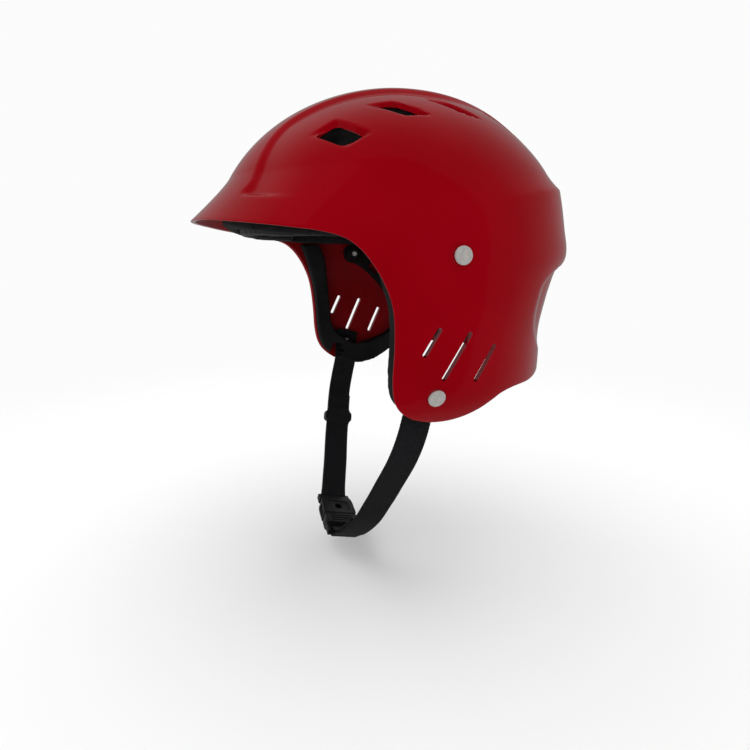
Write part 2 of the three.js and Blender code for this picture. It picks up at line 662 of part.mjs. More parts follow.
function buildDial() {
  const y0 = SECTION_CENTRE_Y + YOKE_REACH + 1.8;
  const dial = new THREE.Group();
  dial.position.set(0, y0, YOKE_Z);
  helmet.add(dial);
  const cover = latheAlongY([[0, 0], [0, HOUSING_RADIUS], [HOUSING_HEIGHT, HOUSING_RADIUS],
    [HOUSING_HEIGHT, GEAR_ROOM_RADIUS], [1.6, GEAR_ROOM_RADIUS], [1.6, 0]]);
  addPart('dial_housing', cover, materials.nylon, dial);
  const gear = [];
  for (let i = 0; i < PINION_TEETH * 4; i += 1) {
    const radius = i % 4 < 2 ? PINION_RADIUS + TOOTH_HEIGHT : PINION_RADIUS - TOOTH_HEIGHT;
    const angle = (i / (PINION_TEETH * 4)) * 2 * Math.PI;
    gear.push(new THREE.Vector2(radius * Math.cos(angle), radius * Math.sin(angle)));
  }
  const pinion = new THREE.ExtrudeGeometry(new THREE.Shape(gear), { depth: 1.8, bevelEnabled: false });
  pinion.rotateX(Math.PI / 2).translate(0, 3.7, 0);
  addPart('dial_pinion', pinion, materials.nylon, dial);
  const grip = [];
  for (let i = 0; i < KNOB_LOBES * 4; i += 1) {
    const angle = (i / (KNOB_LOBES * 4)) * 2 * Math.PI;
    const radius = KNOB_RADIUS + KNOB_WAVE * Math.cos(angle * KNOB_LOBES);
    grip.push(new THREE.Vector2(radius * Math.cos(angle), radius * Math.sin(angle)));
  }
  const knob = new THREE.ExtrudeGeometry(new THREE.Shape(grip), { depth: KNOB_HEIGHT, bevelEnabled: false });
  knob.rotateX(Math.PI / 2).translate(0, HOUSING_HEIGHT + 0.4 + KNOB_HEIGHT, 0);
  addPart('dial_knob', knob, materials.nylon, dial);
}

// ---------------------------------------------------------------- chin strap
// half of the hanging loop: distance from the centre plane, and distance below the rivets' axis
const STRAP_DROP = [
  [98.2, -10], [95.2, 0], [92.9, 5], [89.5, 9.5], [86, 14], [84.5, 18], [84, 27], [82.4, 36],
  [79.6, 45], [75.6, 54], [67.5, 68.5], [59.4, 83], [48.6, 99],
];
const SOCKET_EYE = [-33, 126];   // webbing bar of the socket, in the loop's plane
const PLUG_EYE = [8.5, 133.5];       // webbing bar of the plug
const BUCKLE_TURN = Math.atan2(PLUG_EYE[1] - SOCKET_EYE[1], PLUG_EYE[0] - SOCKET_EYE[0]);
const BUCKLE_LENGTH = Math.hypot(PLUG_EYE[1] - SOCKET_EYE[1], PLUG_EYE[0] - SOCKET_EYE[0]);
const EYE_BAR_RADIUS = 1.5;
const EYE_WRAP_RADIUS = EYE_BAR_RADIUS + 0.3 + WEB_THICKNESS / 2;
const SLIDER_DROP = 66;

// the loop's own frame: x across the head, y down the loop, z across the webbing
const loop = new THREE.Group();
loop.position.set(0, STRAP_PIVOT_Y, STRAP_PIVOT_Z);
loop.rotation.x = -(Math.PI / 2 + STRAP_LEAN);
helmet.add(loop);

function offsetLine(points, distance) {
  return points.map((p, i) => {
    const before = points[Math.max(i - 1, 0)];
    const after = points[Math.min(i + 1, points.length - 1)];
    const along = after.clone().sub(before).normalize();
    return new THREE.Vector2(p.x + along.y * distance, p.y - along.x * distance);
  });
}

// a length of webbing: its centre line in the loop's plane, given its thickness and width
function webbing(centreLine, width) {
  const front = offsetLine(centreLine, WEB_THICKNESS / 2);
  const back = offsetLine(centreLine, -WEB_THICKNESS / 2);
  const shape = new THREE.Shape([...front, ...back.reverse()]);
  const geometry = new THREE.ExtrudeGeometry(shape, { depth: width, bevelEnabled: false });
  return geometry.translate(0, 0, -width / 2);
}

// down the head, round an eye bar and back up beside the first layer; spine is the line midway
// between the two layers, and it ends at the bar's centre
function strapLine(side, approach, eye, returnDrop) {
  const points = [...STRAP_DROP.map(([x, y]) => [side * x, y]), ...approach, eye];
  const curve = new THREE.SplineCurve(points.map(([x, y]) => new THREE.Vector2(x, y)));
  const count = 40;
  const length = curve.getLength();
  const down = [];
  const back = [];
  let spread = 0;
  let normal = null;
  for (let i = 0; i <= count; i += 1) {
    const p = curve.getPointAt(i / count);
    const along = curve.getTangentAt(i / count);
    const toEye = length * (1 - i / count);
    const doubled = smoothStep((p.y - returnDrop + 22) / 20) * WEB_LAYER_PITCH / 2;
    spread = doubled + (EYE_WRAP_RADIUS - doubled) * smoothStep(1 - toEye / 10);
    normal = new THREE.Vector2(along.y, -along.x).multiplyScalar(side);
    down.push(p.clone().addScaledVector(normal, spread));
    if (p.y > returnDrop) {
      back.push(p.clone().addScaledVector(normal, -spread));
    }
  }
  const heading = new THREE.Vector2(-normal.y, normal.x).multiplyScalar(side);
  const turn = [];
  for (let i = 1; i < 6; i += 1) {
    const angle = (i / 6) * Math.PI;
    turn.push(new THREE.Vector2(...eye)
      .addScaledVector(normal, EYE_WRAP_RADIUS * Math.cos(angle))
      .addScaledVector(heading, EYE_WRAP_RADIUS * Math.sin(angle)));
  }
  return [...down, ...turn, ...back.reverse()];
}

function pierced(geometry) {
  const hole = rod(SCREW_HOLE_RADIUS, -120, 120, 0, 0, 16);
  return geometryOf(solidOf(geometry).subtract(solidOf(hole)));
}

function buildStraps() {
  const right = strapLine(-1, [[-40.8, 113]], SOCKET_EYE, SLIDER_DROP - 18);
  addPart('strap_right', pierced(webbing(right, WEB_WIDTH)), materials.webbing, loop);
  const left = strapLine(1, [[37, 112.5], [23, 125]], PLUG_EYE, 108);
  addPart('strap_left', pierced(webbing(left, WEB_WIDTH)), materials.webbing, loop);
}

const SLIDER_WIDTH = 24.2;
const SLIDER_WALL = 1.7;

function buildSlider() {
  const [upper, lower] = [STRAP_DROP[9], STRAP_DROP[11]];
  const slope = (upper[0] - lower[0]) / (lower[1] - upper[1]);
  const slider = new THREE.Group();
  slider.position.set(-upper[0] + slope * (SLIDER_DROP - upper[1]), SLIDER_DROP, 0);
  slider.rotation.z = -Math.atan(slope);
  loop.add(slider);
  const outer = SLIDER_WIDTH / 2;
  const inner = outer - SLIDER_WALL;
  const body = solidOf(boxBetween([-4, -4.8, -outer], [4, 4.8, outer]));
  const slot = solidOf(boxBetween([-2.6, -10, -inner], [2.6, 10, inner]));
  addPart('strap_slider', geometryOf(body.subtract(slot)), materials.nylon, slider);
}

// ---------------------------------------------------------------- side-release buckle
// its own frame: x from the socket's eye to the plug's eye, y its thickness, z its width
const SOCKET_START = 4.6;
const SOCKET_END = 25;
const SOCKET_HALF_WIDTH = 13.2;
const SOCKET_HALF_HEIGHT = 4.8;
const PLUG_HALF_WIDTH = 13;
const PLUG_HALF_HEIGHT = 4.4;
const EYE_ARM_INSIDE = 10.9;   // half the room for the webbing beside the eye bars
const EYE_BAR_LENGTH = 25;
const SIDE_WINDOW = [12, 22.6];         // where the release arms show in the socket's sides
const ARM_HEIGHT = 4.4;        // of the release arms
const buckle = new THREE.Group();
buckle.position.set(...SOCKET_EYE, 0);
buckle.rotation.z = BUCKLE_TURN;
loop.add(buckle);

function buildSocket() {
  let socket = solidOf(boxBetween([SOCKET_START, -SOCKET_HALF_HEIGHT, -SOCKET_HALF_WIDTH],
    [SOCKET_END, SOCKET_HALF_HEIGHT, SOCKET_HALF_WIDTH]));
  for (const side of [-1, 1]) {
    const z = [side * EYE_ARM_INSIDE, side * SOCKET_HALF_WIDTH].sort((a, b) => a - b);
    socket = socket.add(solidOf(boxBetween([-1, -2, z[0]], [5, 2, z[1]])));
  }
  socket = socket.add(solidOf(new THREE.CylinderGeometry(EYE_BAR_RADIUS, EYE_BAR_RADIUS, EYE_BAR_LENGTH, 12)
    .rotateX(Math.PI / 2)));
  socket = socket.subtract(solidOf(boxBetween([7.5, -2.9, -11], [SOCKET_END + 5, 2.9, 11])));
  socket = socket.subtract(solidOf(boxBetween([SIDE_WINDOW[0], -2.9, -20], [SIDE_WINDOW[1], 2.9, 20])));
  addPart('buckle_socket', geometryOf(socket), materials.nylon, buckle);
}

function buildPlug() {
  const end = BUCKLE_LENGTH;
  let plug = solidOf(boxBetween([SOCKET_END + 0.5, -PLUG_HALF_HEIGHT, -PLUG_HALF_WIDTH],
    [end - 6, PLUG_HALF_HEIGHT, PLUG_HALF_WIDTH]));
  for (const side of [-1, 1]) {
    const z = [side * EYE_ARM_INSIDE, side * PLUG_HALF_WIDTH].sort((a, b) => a - b);
    plug = plug.add(solidOf(boxBetween([end - 7, -2, z[0]], [end + 1, 2, z[1]])));
  }
  plug = plug.add(solidOf(new THREE.CylinderGeometry(EYE_BAR_RADIUS, EYE_BAR_RADIUS, EYE_BAR_LENGTH, 12)
    .rotateX(Math.PI / 2).translate(end, 0, 0)));
  plug = plug.add(solidOf(boxBetween([10, -1.4, -2], [SOCKET_END + 1, 1.4, 2])));
  addPart('buckle_plug', geometryOf(plug), materials.nylon, buckle);
  const arm = new THREE.Shape([
    [25.1, 6.4], [25.1, 9.4], [22.4, 9.8], [21.6, 12.6], [13.4, 12.6], [12.4, 9.8], [9.2, 8.8],
    [9.2, 7], [13, 6.4],
  ].map(([x, y]) => new THREE.Vector2(x, y)));
  const front = new THREE.ExtrudeGeometry(arm, { depth: ARM_HEIGHT, bevelEnabled: false });
  front.rotateX(Math.PI / 2).translate(0, ARM_HEIGHT / 2, 0);
  const rear = front.clone().rotateX(Math.PI);
  addPart('release_arm_rear', front, materials.nylon, buckle);
  addPart('release_arm_front', rear, materials.nylon, buckle);
}

buildShell();
buildLiner();
buildPads();
buildEarPads();
buildTempleScrews();
buildStrapRivets();
buildCradleArms();
buildYoke();
buildDial();
buildStraps();
buildSlider();
buildSocket();
buildPlug();

export default helmet;
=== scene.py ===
import math

import bmesh
import bpy
import numpy as np
from mathutils import Matrix, Vector


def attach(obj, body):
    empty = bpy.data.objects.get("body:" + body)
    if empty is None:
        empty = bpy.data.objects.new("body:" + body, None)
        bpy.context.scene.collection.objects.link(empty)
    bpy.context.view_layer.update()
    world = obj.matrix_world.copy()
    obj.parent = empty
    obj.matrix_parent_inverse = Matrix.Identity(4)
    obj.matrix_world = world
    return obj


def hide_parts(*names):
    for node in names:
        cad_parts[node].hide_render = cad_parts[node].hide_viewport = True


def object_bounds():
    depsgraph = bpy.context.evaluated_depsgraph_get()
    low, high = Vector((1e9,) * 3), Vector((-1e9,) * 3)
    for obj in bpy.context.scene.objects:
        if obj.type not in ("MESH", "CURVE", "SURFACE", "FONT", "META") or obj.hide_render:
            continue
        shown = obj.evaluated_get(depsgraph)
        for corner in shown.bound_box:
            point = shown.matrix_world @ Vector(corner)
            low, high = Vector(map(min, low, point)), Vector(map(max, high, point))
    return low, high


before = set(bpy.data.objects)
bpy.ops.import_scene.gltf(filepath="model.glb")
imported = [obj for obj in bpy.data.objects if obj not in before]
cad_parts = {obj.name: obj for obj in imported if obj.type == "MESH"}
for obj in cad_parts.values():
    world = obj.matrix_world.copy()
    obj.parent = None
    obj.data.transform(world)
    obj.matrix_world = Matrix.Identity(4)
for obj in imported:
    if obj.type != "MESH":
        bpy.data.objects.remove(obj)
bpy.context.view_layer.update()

# Water rescue helmet. Sizes here are in millimetres; MM turns them into metres as meshes are made.
# +Z is up, the face looks along -Y and +X is the wearer's left. The origin is midway between
# the two temple screws.
MM = 0.001

# ------------------------------------------------------------------ driving dimensions
HALF_WIDTH = 112
CROWN_HEIGHT = 113
FRONT_REACH = 128.7
REAR_REACH = 128.8
SECTION_CENTRE_Y = -1
SECTION_POWER = 2.13
SIDE_POWER = 2.35
FRONT_POWER = 2.05
BACK_POWER = 1.98
SHELL_THICKNESS = 4
BRIM_FLARE = 16
BRIM_TOP_Z = 50
BRIM_EDGE_Z = 21
BRIM_DROP_LIMIT = 1.3
RIDGE_HEIGHT = 3.4
EDGE_RADIUS = 1.1              # corners of the shell's cut edge

# level sections below the temple: height, half width, rear reach
LOWER_SECTIONS = np.array([
    [0, HALF_WIDTH, REAR_REACH], [-15, 113, 120], [-30, 113.3, 113.2], [-55, 109, 108.1],
    [-80, 103.3, 109.2], [-91, 98.9, 109.5], [-102, 91.5, 109.5], [-113, 83, 109.5],
], float)

# the shell's lower edge in the side view (y, z)
RIM = [
    [-165, 22.5], [-140, 21.2], [-118, 18.3], [-95, 15.3], [-78, 12.8], [-66, 9.3], [-58.5, 4],
    [-52.5, -3], [-46.5, -13], [-41.8, -25], [-39.6, -38], [-38.6, -54], [-38.3, -70], [-36.2, -82],
    [-31.2, -90.3], [-22, -97], [-10, -101], [1, -101.8], [12, -100], [22, -96], [31, -90.5],
    [39, -86], [51, -83.8], [70, -83.6], [90, -81], [112, -77.5], [140, -75], [165, -75],
]

CREST_STEP = 2.5               # the crown band stands this much above the side panels
CREST_SLOPE = 4.8              # width of the sloped step
CREST_TURN_Y = -82             # ahead of this the crest's edge bends out along the brim
CREST_HALF_WIDTH = 38.5        # of the crown band, at that place
CREST_WIDEST = 56
NAPE_DEPTH = 2.2               # of the recess between the ledge and the rim
NAPE_LIP = 0.9
PANEL_FLOOR_Z = 34             # lower edge of the side panels, near the brim

# centre of each vent in plan, its long heading in degrees, length and width
VENTS = [
    (80.2, -62, 41, 21, 15),
    (78.8, -26, 50, 21, 14.5),
    (74.4, 13, 57, 19, 13),
    (64.8, 55, 64, 17.5, 11.5),
]
VENT_SHORT_HEADING = 86
VENT_DEPTH = 3.2
VENT_FACETS = (3.6, 3.2)       # widths of the sloped facets beside a short and a long edge

# upper and lower end of each ear slot in the side view
EAR_SLOTS = [
    ((-12.3, -40.1), (-21.1, -56.7)),
    ((7.4, -43.4), (-7.3, -72.1)),
    ((25.7, -52.1), (14.3, -74.7)),
]
SLOT_WIDTH = 3.2

SCREW_HEAD_RADIUS = 5.4
SCREW_HOLE_RADIUS = 2.6
STRAP_PIVOT = (-10, -82.5)
RIVET_HEAD_X = 102.4
RIVET_TILT = math.radians(18)
WASHER_X = 93.1

WEB_WIDTH = 20
WEB_THICKNESS = 1.6
WEB_LAYER_PITCH = 2.3
WEB_EDGE_RADIUS = 0.7
STRAP_LEAN = math.radians(13.5)
STRAP_DROP = [
    [98.2, -10], [95.2, 0], [92.9, 5], [89.5, 9.5], [86, 14], [84.5, 18], [84, 27], [82.4, 36],
    [79.6, 45], [75.6, 54], [67.5, 68.5], [59.4, 83], [48.6, 99],
]
SOCKET_EYE = (-33, 126)
PLUG_EYE = (8.5, 133.5)
BUCKLE_TURN = math.atan2(PLUG_EYE[1] - SOCKET_EYE[1], PLUG_EYE[0] - SOCKET_EYE[0])
BUCKLE_LENGTH = math.hypot(PLUG_EYE[1] - SOCKET_EYE[1], PLUG_EYE[0] - SOCKET_EYE[0])
EYE_BAR_RADIUS = 1.5
EYE_WRAP_RADIUS = EYE_BAR_RADIUS + 0.3 + WEB_THICKNESS / 2
SLIDER_DROP = 66
RIGHT_TAIL_DROP = SLIDER_DROP - 18
LEFT_TAIL_DROP = 108
SOCKET_END = 25

RIM_COLUMNS = 230              # facets along half the shell's edge
OUTER_ROWS = 150
INNER_ROWS = 46


# ------------------------------------------------------------------ the helmet's surface
def smooth_step(t):
    c = np.clip(t, 0, 1)
    return c * c * (3 - 2 * c)


def soft_ramp(t, corner=0.14):
    """0 to 1 in a straight line, with both corners rounded."""
    low = (t + corner) ** 2 / (4 * corner)
    high = 1 - (1 + corner - t) ** 2 / (4 * corner)
    inner = np.where(t < corner, low, np.where(t > 1 - corner, high, t))
    return np.where(t < -corner, 0, np.where(t > 1 + corner, 1, inner))


def lower_section(z, column):
    rows = LOWER_SECTIONS
    last = len(rows) - 1
    step = np.searchsorted(-rows[:, 0], -z, side="left") - 1
    i = np.clip(step, 0, last - 1)

    def slope(k):
        before = rows[np.maximum(k - 1, 0)]
        after = rows[np.minimum(k + 1, last)]
        value = (after[..., column] - before[..., column]) / (after[..., 0] - before[..., 0])
        return np.where(k == 0, 0, value)

    span = rows[i + 1, 0] - rows[i, 0]
    t = (z - rows[i, 0]) / span
    h = t * t * (3 - 2 * t)
    blend = rows[i, column] * (1 - h) + rows[i + 1, column] * h
    return blend + span * (t * (1 - t) ** 2 * slope(i) - t * t * (1 - t) * slope(i + 1))


def dome_profile(reach, z, inset, power):
    share = np.clip(z, 0, None) / (CROWN_HEIGHT - inset)
    return (reach - inset) * np.maximum(1 - share ** power, 0) ** (1 / power)


def section_at(z, inset):
    z = np.asarray(z, float)
    side = np.where(z < 0, lower_section(z, 1) - inset, dome_profile(HALF_WIDTH, z, inset, SIDE_POWER))
    front = np.where(z < 0, FRONT_REACH - inset, dome_profile(FRONT_REACH, z, inset, FRONT_POWER))
    rear = np.where(z < 0, lower_section(z, 2) - inset, dome_profile(REAR_REACH, z, inset, BACK_POWER))
    return side, front, rear


def swell(angle, y, z, flare):
    """Outward swell over the plain dome: the brim in front and the ledge behind."""
    forward = np.cos(angle)
    drop = np.clip((BRIM_TOP_Z - z) / (BRIM_TOP_Z - BRIM_EDGE_Z), 0, BRIM_DROP_LIMIT)
    brim = flare * drop ** 1.5 * np.clip(forward, 0, 1) ** 1.5
    fade = smooth_step((y - 8) / 85)
    above = z - (25.5 + 0.24 * y - 0.0005 * y * y)
    ledge = np.where(above > 0, np.clip(1 - above / 12, 0, 1), np.clip(1 + above / 34, 0, 1)) ** 2
    dip = 1.8 * np.exp(-(((z - 80) / 16) ** 2))
    return np.where(forward > 0, brim, fade * (RIDGE_HEIGHT * ledge - dip))


def surface(angle, z, inset, flare=BRIM_FLARE):
    """Points of the dome at one depth. The angle runs from the front round by the wearer's left."""
    angle, z = np.broadcast_arrays(np.asarray(angle, float), np.asarray(z, float))
    side, front, rear = section_at(z, inset)
    power = 2 / SECTION_POWER
    s = np.sin(angle)
    c = np.cos(angle)
    x = side * np.sign(s) * np.abs(s) ** power
    y = -np.where(c > 0, front, rear) * np.sign(c) * np.abs(c) ** power
    radius = np.hypot(x, y)
    grown = np.where(radius > 1, 1 + swell(angle, y, z, flare) / np.maximum(radius, 1), 1)
    return np.stack([x * grown, SECTION_CENTRE_Y + y * grown, z], -1)


def height_at(x, y, inset=0):
    low = 0.0
    high = CROWN_HEIGHT - inset
    for _ in range(40):
        z = (low + high) / 2
        side, front, rear = section_at(z, inset)
        reach = front if y < SECTION_CENTRE_Y else rear
        total = (abs(x) / side) ** SECTION_POWER + (abs(y - SECTION_CENTRE_Y) / reach) ** SECTION_POWER
        if total < 1:
            low = z
        else:
            high = z
    return low


def tangent_at(x, y, heading):
    step = 0.5
    dx = math.cos(heading)
    dy = math.sin(heading)
    rise = height_at(x + dx * step, y + dy * step) - height_at(x - dx * step, y - dy * step)
    return Vector((dx, dy, rise / (2 * step))).normalized()


def vent_frame(x, y, heading):
    """Centre, and the directions along the long edge, along the short edge and out of the dome."""
    centre = Vector((x, y, height_at(x, y)))
    long = tangent_at(x, y, math.radians(heading))
    short = tangent_at(x, y, math.radians(VENT_SHORT_HEADING))
    return centre, long, short, long.cross(short).normalized()


def vent_recess(points, vent):
    """Depth of the scoop above and ahead of one vent's opening."""
    x, y, heading, length, width = vent
    centre, long, short, normal = vent_frame(x, y, heading)
    to_local = np.linalg.inv(np.array([long, short, normal]).T)
    folded = points * np.array([1, 1, 1.0])
    folded[..., 0] = np.abs(folded[..., 0])
    p, q, r = np.moveaxis((folded - np.array(centre)) @ to_local.T, -1, 0)
    ahead = (p + length / 2 + VENT_FACETS[0]) / VENT_FACETS[0]
    above = (width / 2 + VENT_FACETS[1] - q) / VENT_FACETS[1]
    behind = (length / 2 + 2 - p) / 2
    below = (q + width / 2 + 0.6) / (0.8 * width)
    share = np.minimum(np.minimum(ahead, above), np.minimum(behind, below))
    return VENT_DEPTH * soft_ramp(share, 0.1) * (np.abs(r) < 14)


def relief(points):
    """Outward relief of the painted face over the plain dome: crown band, vents and nape."""
    x = np.abs(points[..., 0])
    y = points[..., 1]
    z = points[..., 2]
    ahead = CREST_TURN_Y - y
    bend = np.where(ahead > 0, 15.5 * (ahead / 24) ** 2, -0.2 * ahead)
    edge = np.minimum(CREST_HALF_WIDTH + bend, CREST_WIDEST)
    out = x - edge
    floor = soft_ramp((z - PANEL_FLOOR_Z + 0.12 * (x - 60)) / 2.4, 0.15)
    fade = (1 - smooth_step((out - 8) / 46)) * (1 - smooth_step((y - 5) / 70))
    height = -CREST_STEP * soft_ramp(out / CREST_SLOPE, 0.1) * floor * fade
    for vent in VENTS:
        height = height - vent_recess(points, vent)
    rear = smooth_step((y - 30) / 20)
    drop = z + 28
    rise = (np.clip(drop, 0, None) / 25) ** 3.2
    fall = (np.clip(-drop, 0, None) / 46) ** 2.2
    reach = np.where(drop > 0, rise, fall)
    inside = 1 - ((x / 97.5) ** 3 + reach)
    depth = soft_ramp(inside / 0.16, 0.2) * smooth_step((z + 84) / 40)
    lip = np.exp(-(((z - 4) / 9) ** 2)) * smooth_step((y - 70) / 40)
    return height - NAPE_DEPTH * depth * rear + NAPE_LIP * lip


# ------------------------------------------------------------------ meshes
def link(obj):
    bpy.context.scene.collection.objects.link(obj)
    return obj


def mesh_object(name, points, faces, material, place=None):
    """A new object from points in millimetres, with every face shaded smooth."""
    mesh = bpy.data.meshes.new(name)
    mesh.from_pydata((np.asarray(points, float) * MM).tolist(), [], [list(map(int, f)) for f in faces])
    if place is not None:
        metres = place.copy()
        metres.translation = metres.translation * MM
        mesh.transform(metres)
    mesh.materials.append(material)
    mesh.shade_smooth()
    return link(bpy.data.objects.new(name, mesh))


def grid_faces(rings, sides, start=0):
    """Quads between closed rings of points, one ring after the other."""
    faces = []
    for i in range(rings - 1):
        for k in range(sides):
            a = start + i * sides + k
            b = start + i * sides + (k + 1) % sides
            faces.append((a, b, b + sides, a + sides))
    return faces


def domed_faces(rings, sides):
    """The grid's quads, and fans to the two last points, one for each open end."""
    faces = grid_faces(rings, sides)
    last = (rings - 1) * sides
    pole = rings * sides
    for k in range(sides):
        faces.append(((k + 1) % sides, k, pole))
        faces.append((last + k, last + (k + 1) % sides, pole + 1))
    return faces


def slab_faces(count):
    """Two ends with count points each, and the quads between them."""
    faces = [list(range(count)), list(range(count, 2 * count))]
    faces += [(k, (k + 1) % count, count + (k + 1) % count, count + k) for k in range(count)]
    return faces


def bake(obj):
    """Applies the modifiers of obj."""
    bpy.context.view_layer.update()
    graph = bpy.context.evaluated_depsgraph_get()
    mesh = bpy.data.meshes.new_from_object(obj.evaluated_get(graph))
    obj.modifiers.clear()
    old = obj.data
    obj.data = mesh
    mesh.name = obj.name
    bpy.data.meshes.remove(old)
    return obj


def combine(obj, cutter, operation, keep_cutter=False):
    modifier = obj.modifiers.new("combine", "BOOLEAN")
    modifier.operation = operation
    modifier.object = cutter
    modifier.solver = "MANIFOLD"
    bake(obj)
    if not keep_cutter:
        bpy.data.objects.remove(cutter)
    return obj


def cut(obj, *cutters):
    for cutter in cutters:
        combine(obj, cutter, "DIFFERENCE")
    return obj


def add(obj, *others):
    for other in others:
        combine(obj, other, "UNION")
    return obj


def bevel(obj, width, segments=3, angle=30):
    modifier = obj.modifiers.new("bevel", "BEVEL")
    modifier.width = width * MM
    modifier.segments = segments
    modifier.limit_method = "ANGLE"
    modifier.angle_limit = math.radians(angle)
    modifier.harden_normals = False
    return bake(obj)


def crease(obj, angle=35):
    """Smooth shading, with the edges sharper than the angle kept sharp."""
    obj.data.shade_smooth()
    obj.data.set_sharp_from_angle(angle=math.radians(angle))
    return obj


def flip_if_inside_out(obj):
    work = bmesh.new()
    work.from_mesh(obj.data)
    bmesh.ops.recalc_face_normals(work, faces=work.faces)
    if work.calc_volume(signed=True) < 0:
        bmesh.ops.reverse_faces(work, faces=work.faces)
    work.to_mesh(obj.data)
    work.free()
    return obj


def prism(name, outline, low, high, material, place=None):
    """A closed outline in (x, y), raised from z low to z high."""
    points = [(x, y, z) for z in (low, high) for x, y in outline]
    return flip_if_inside_out(mesh_object(name, points, slab_faces(len(outline)), material, place))


def block(name, low, high, material, place=None):
    outline = [(low[0], low[1]), (high[0], low[1]), (high[0], high[1]), (low[0], high[1])]
    return prism(name, outline, low[2], high[2], material, place)


def disc_outline(radius, sides=48, centre=(0, 0)):
    turn = np.linspace(0, 2 * math.pi, sides, endpoint=False)
    return [(centre[0] + radius * math.cos(a), centre[1] + radius * math.sin(a)) for a in turn]


def lathe(name, profile, material, place, sides=64):
    """A closed profile of (radius, height) turned about the local Z axis."""
    points = []
    for radius, height in profile:
        for k in range(sides):
            angle = 2 * math.pi * k / sides
            points.append((radius * math.cos(angle), radius * math.sin(angle), height))
    work = mesh_object(name, points, grid_faces(len(profile), sides), material, place)
    ends = bmesh.new()
    ends.from_mesh(work.data)
    bmesh.ops.remove_doubles(ends, verts=ends.verts, dist=1e-7)
    bmesh.ops.dissolve_degenerate(ends, edges=ends.edges, dist=1e-8)
    bmesh.ops.holes_fill(ends, edges=[e for e in ends.edges if e.is_boundary])
    ends.to_mesh(work.data)
    ends.free()
    return flip_if_inside_out(work)


def frame_matrix(origin, x_axis, y_axis, z_axis):
    matrix = Matrix.Identity(4)
    for column, axis in enumerate((x_axis, y_axis, z_axis)):
        for row in range(3):
            matrix[row][column] = axis[row]
    matrix.translation = Vector(origin)
    return matrix


def along_x(x, y, z, side=1, tilt=0):
    """A frame whose Z axis points out of the helmet's side, turned down by tilt."""
    out = Vector((side * math.cos(tilt), 0, -math.sin(tilt)))
    back = Vector((0, 1, 0))
    return frame_matrix((side * x, y, z), back, out.cross(back), out)


# ------------------------------------------------------------------ materials
class Finish:
    """A Principled material whose colour, roughness and bump come from procedural nodes."""

    def __init__(self, name, roughness, metallic=0.0):
        self.material = bpy.data.materials.new(name)
        self.material.use_nodes = True
        self.tree = self.material.node_tree
        self.shader = next(n for n in self.tree.nodes if n.type == "BSDF_PRINCIPLED")
        self.shader.inputs["Roughness"].default_value = roughness
        self.shader.inputs["Metallic"].default_value = metallic
        self.place = self.tree.nodes.new("ShaderNodeTexCoord")
        self.bumped = None

    def node(self, kind, **values):
        made = self.tree.nodes.new(kind)
        for key, value in values.items():
            if key in made.inputs:
                made.inputs[key].default_value = value
            else:
                setattr(made, key, value)
        return made

    def join(self, source, target):
        self.tree.links.new(source, target)

    def coordinates(self, stretch=(1, 1, 1), source="Object"):
        mapping = self.node("ShaderNodeMapping")
        mapping.inputs["Scale"].default_value = stretch
        self.join(self.place.outputs[source], mapping.inputs["Vector"])
        return mapping.outputs["Vector"]

    def noise(self, scale, detail=3.0, stretch=(1, 1, 1), source="Object"):
        made = self.node("ShaderNodeTexNoise", Scale=scale, Detail=detail)
        self.join(self.coordinates(stretch, source), made.inputs["Vector"])
        return made.outputs["Fac"]

    def cells(self, scale, stretch=(1, 1, 1), source="Object"):
        made = self.node("ShaderNodeTexVoronoi", Scale=scale)
        self.join(self.coordinates(stretch, source), made.inputs["Vector"])
        return made.outputs["Distance"]

    def colours(self, fac, dark, light, low=0.3, high=0.7):
        ramp = self.node("ShaderNodeValToRGB")
        ramp.color_ramp.elements[0].position = low
        ramp.color_ramp.elements[1].position = high
        ramp.color_ramp.elements[0].color = (*dark, 1)
        ramp.color_ramp.elements[1].color = (*light, 1)
        self.join(fac, ramp.inputs["Fac"])
        self.join(ramp.outputs["Color"], self.shader.inputs["Base Color"])

    def roughness(self, fac, low, high):
        spread = self.node("ShaderNodeMapRange")
        spread.inputs["To Min"].default_value = low
        spread.inputs["To Max"].default_value = high
        self.join(fac, spread.inputs["Value"])
        self.join(spread.outputs["Result"], self.shader.inputs["Roughness"])

    def bump(self, height, strength, depth):
        made = self.node("ShaderNodeBump", Strength=strength, Distance=depth * MM)
        self.join(height, made.inputs["Height"])
        if self.bumped is not None:
            self.join(self.bumped, made.inputs["Normal"])
        self.bumped = made.outputs["Normal"]
        self.join(self.bumped, self.shader.inputs["Normal"])

    def set(self, **values):
        for key, value in values.items():
            self.shader.inputs[key.replace("_", " ")].default_value = value


def painted_shell():
    """Deep red gloss: through-coloured plastic under a clear coat, with faint orange peel."""
    finish = Finish("shell_gloss", 0.3)
    finish.colours(finish.noise(14, 2), (0.235, 0.0002, 0.0035), (0.275, 0.0004, 0.0050))
    finish.roughness(finish.noise(90, 4), 0.22, 0.34)
    finish.bump(finish.noise(170, 1), 0.05, 0.12)
    finish.bump(finish.noise(1400, 2), 0.03, 0.02)
    finish.set(Coat_Weight=1.0, Coat_Roughness=0.03, Specular_IOR_Level=0.0)
    return finish.material


def shaded_shell_inside():
    """The unpolished inner face and cut edge of the moulding: the same red plastic, with painted shade
    in its darker base colour.
    """
    finish = Finish("shaded_shell_inside", 0.5)
    # painted shade: this base red is darker than the outer shell's red, standing in for the shade inside
    # the shell
    finish.colours(finish.noise(60, 4), (0.17, 0.0004, 0.0025), (0.22, 0.0006, 0.0035))
    finish.roughness(finish.noise(220, 4), 0.36, 0.58)
    finish.bump(finish.noise(700, 4), 0.2, 0.06)
    finish.set(Specular_IOR_Level=0.12)
    return finish.material


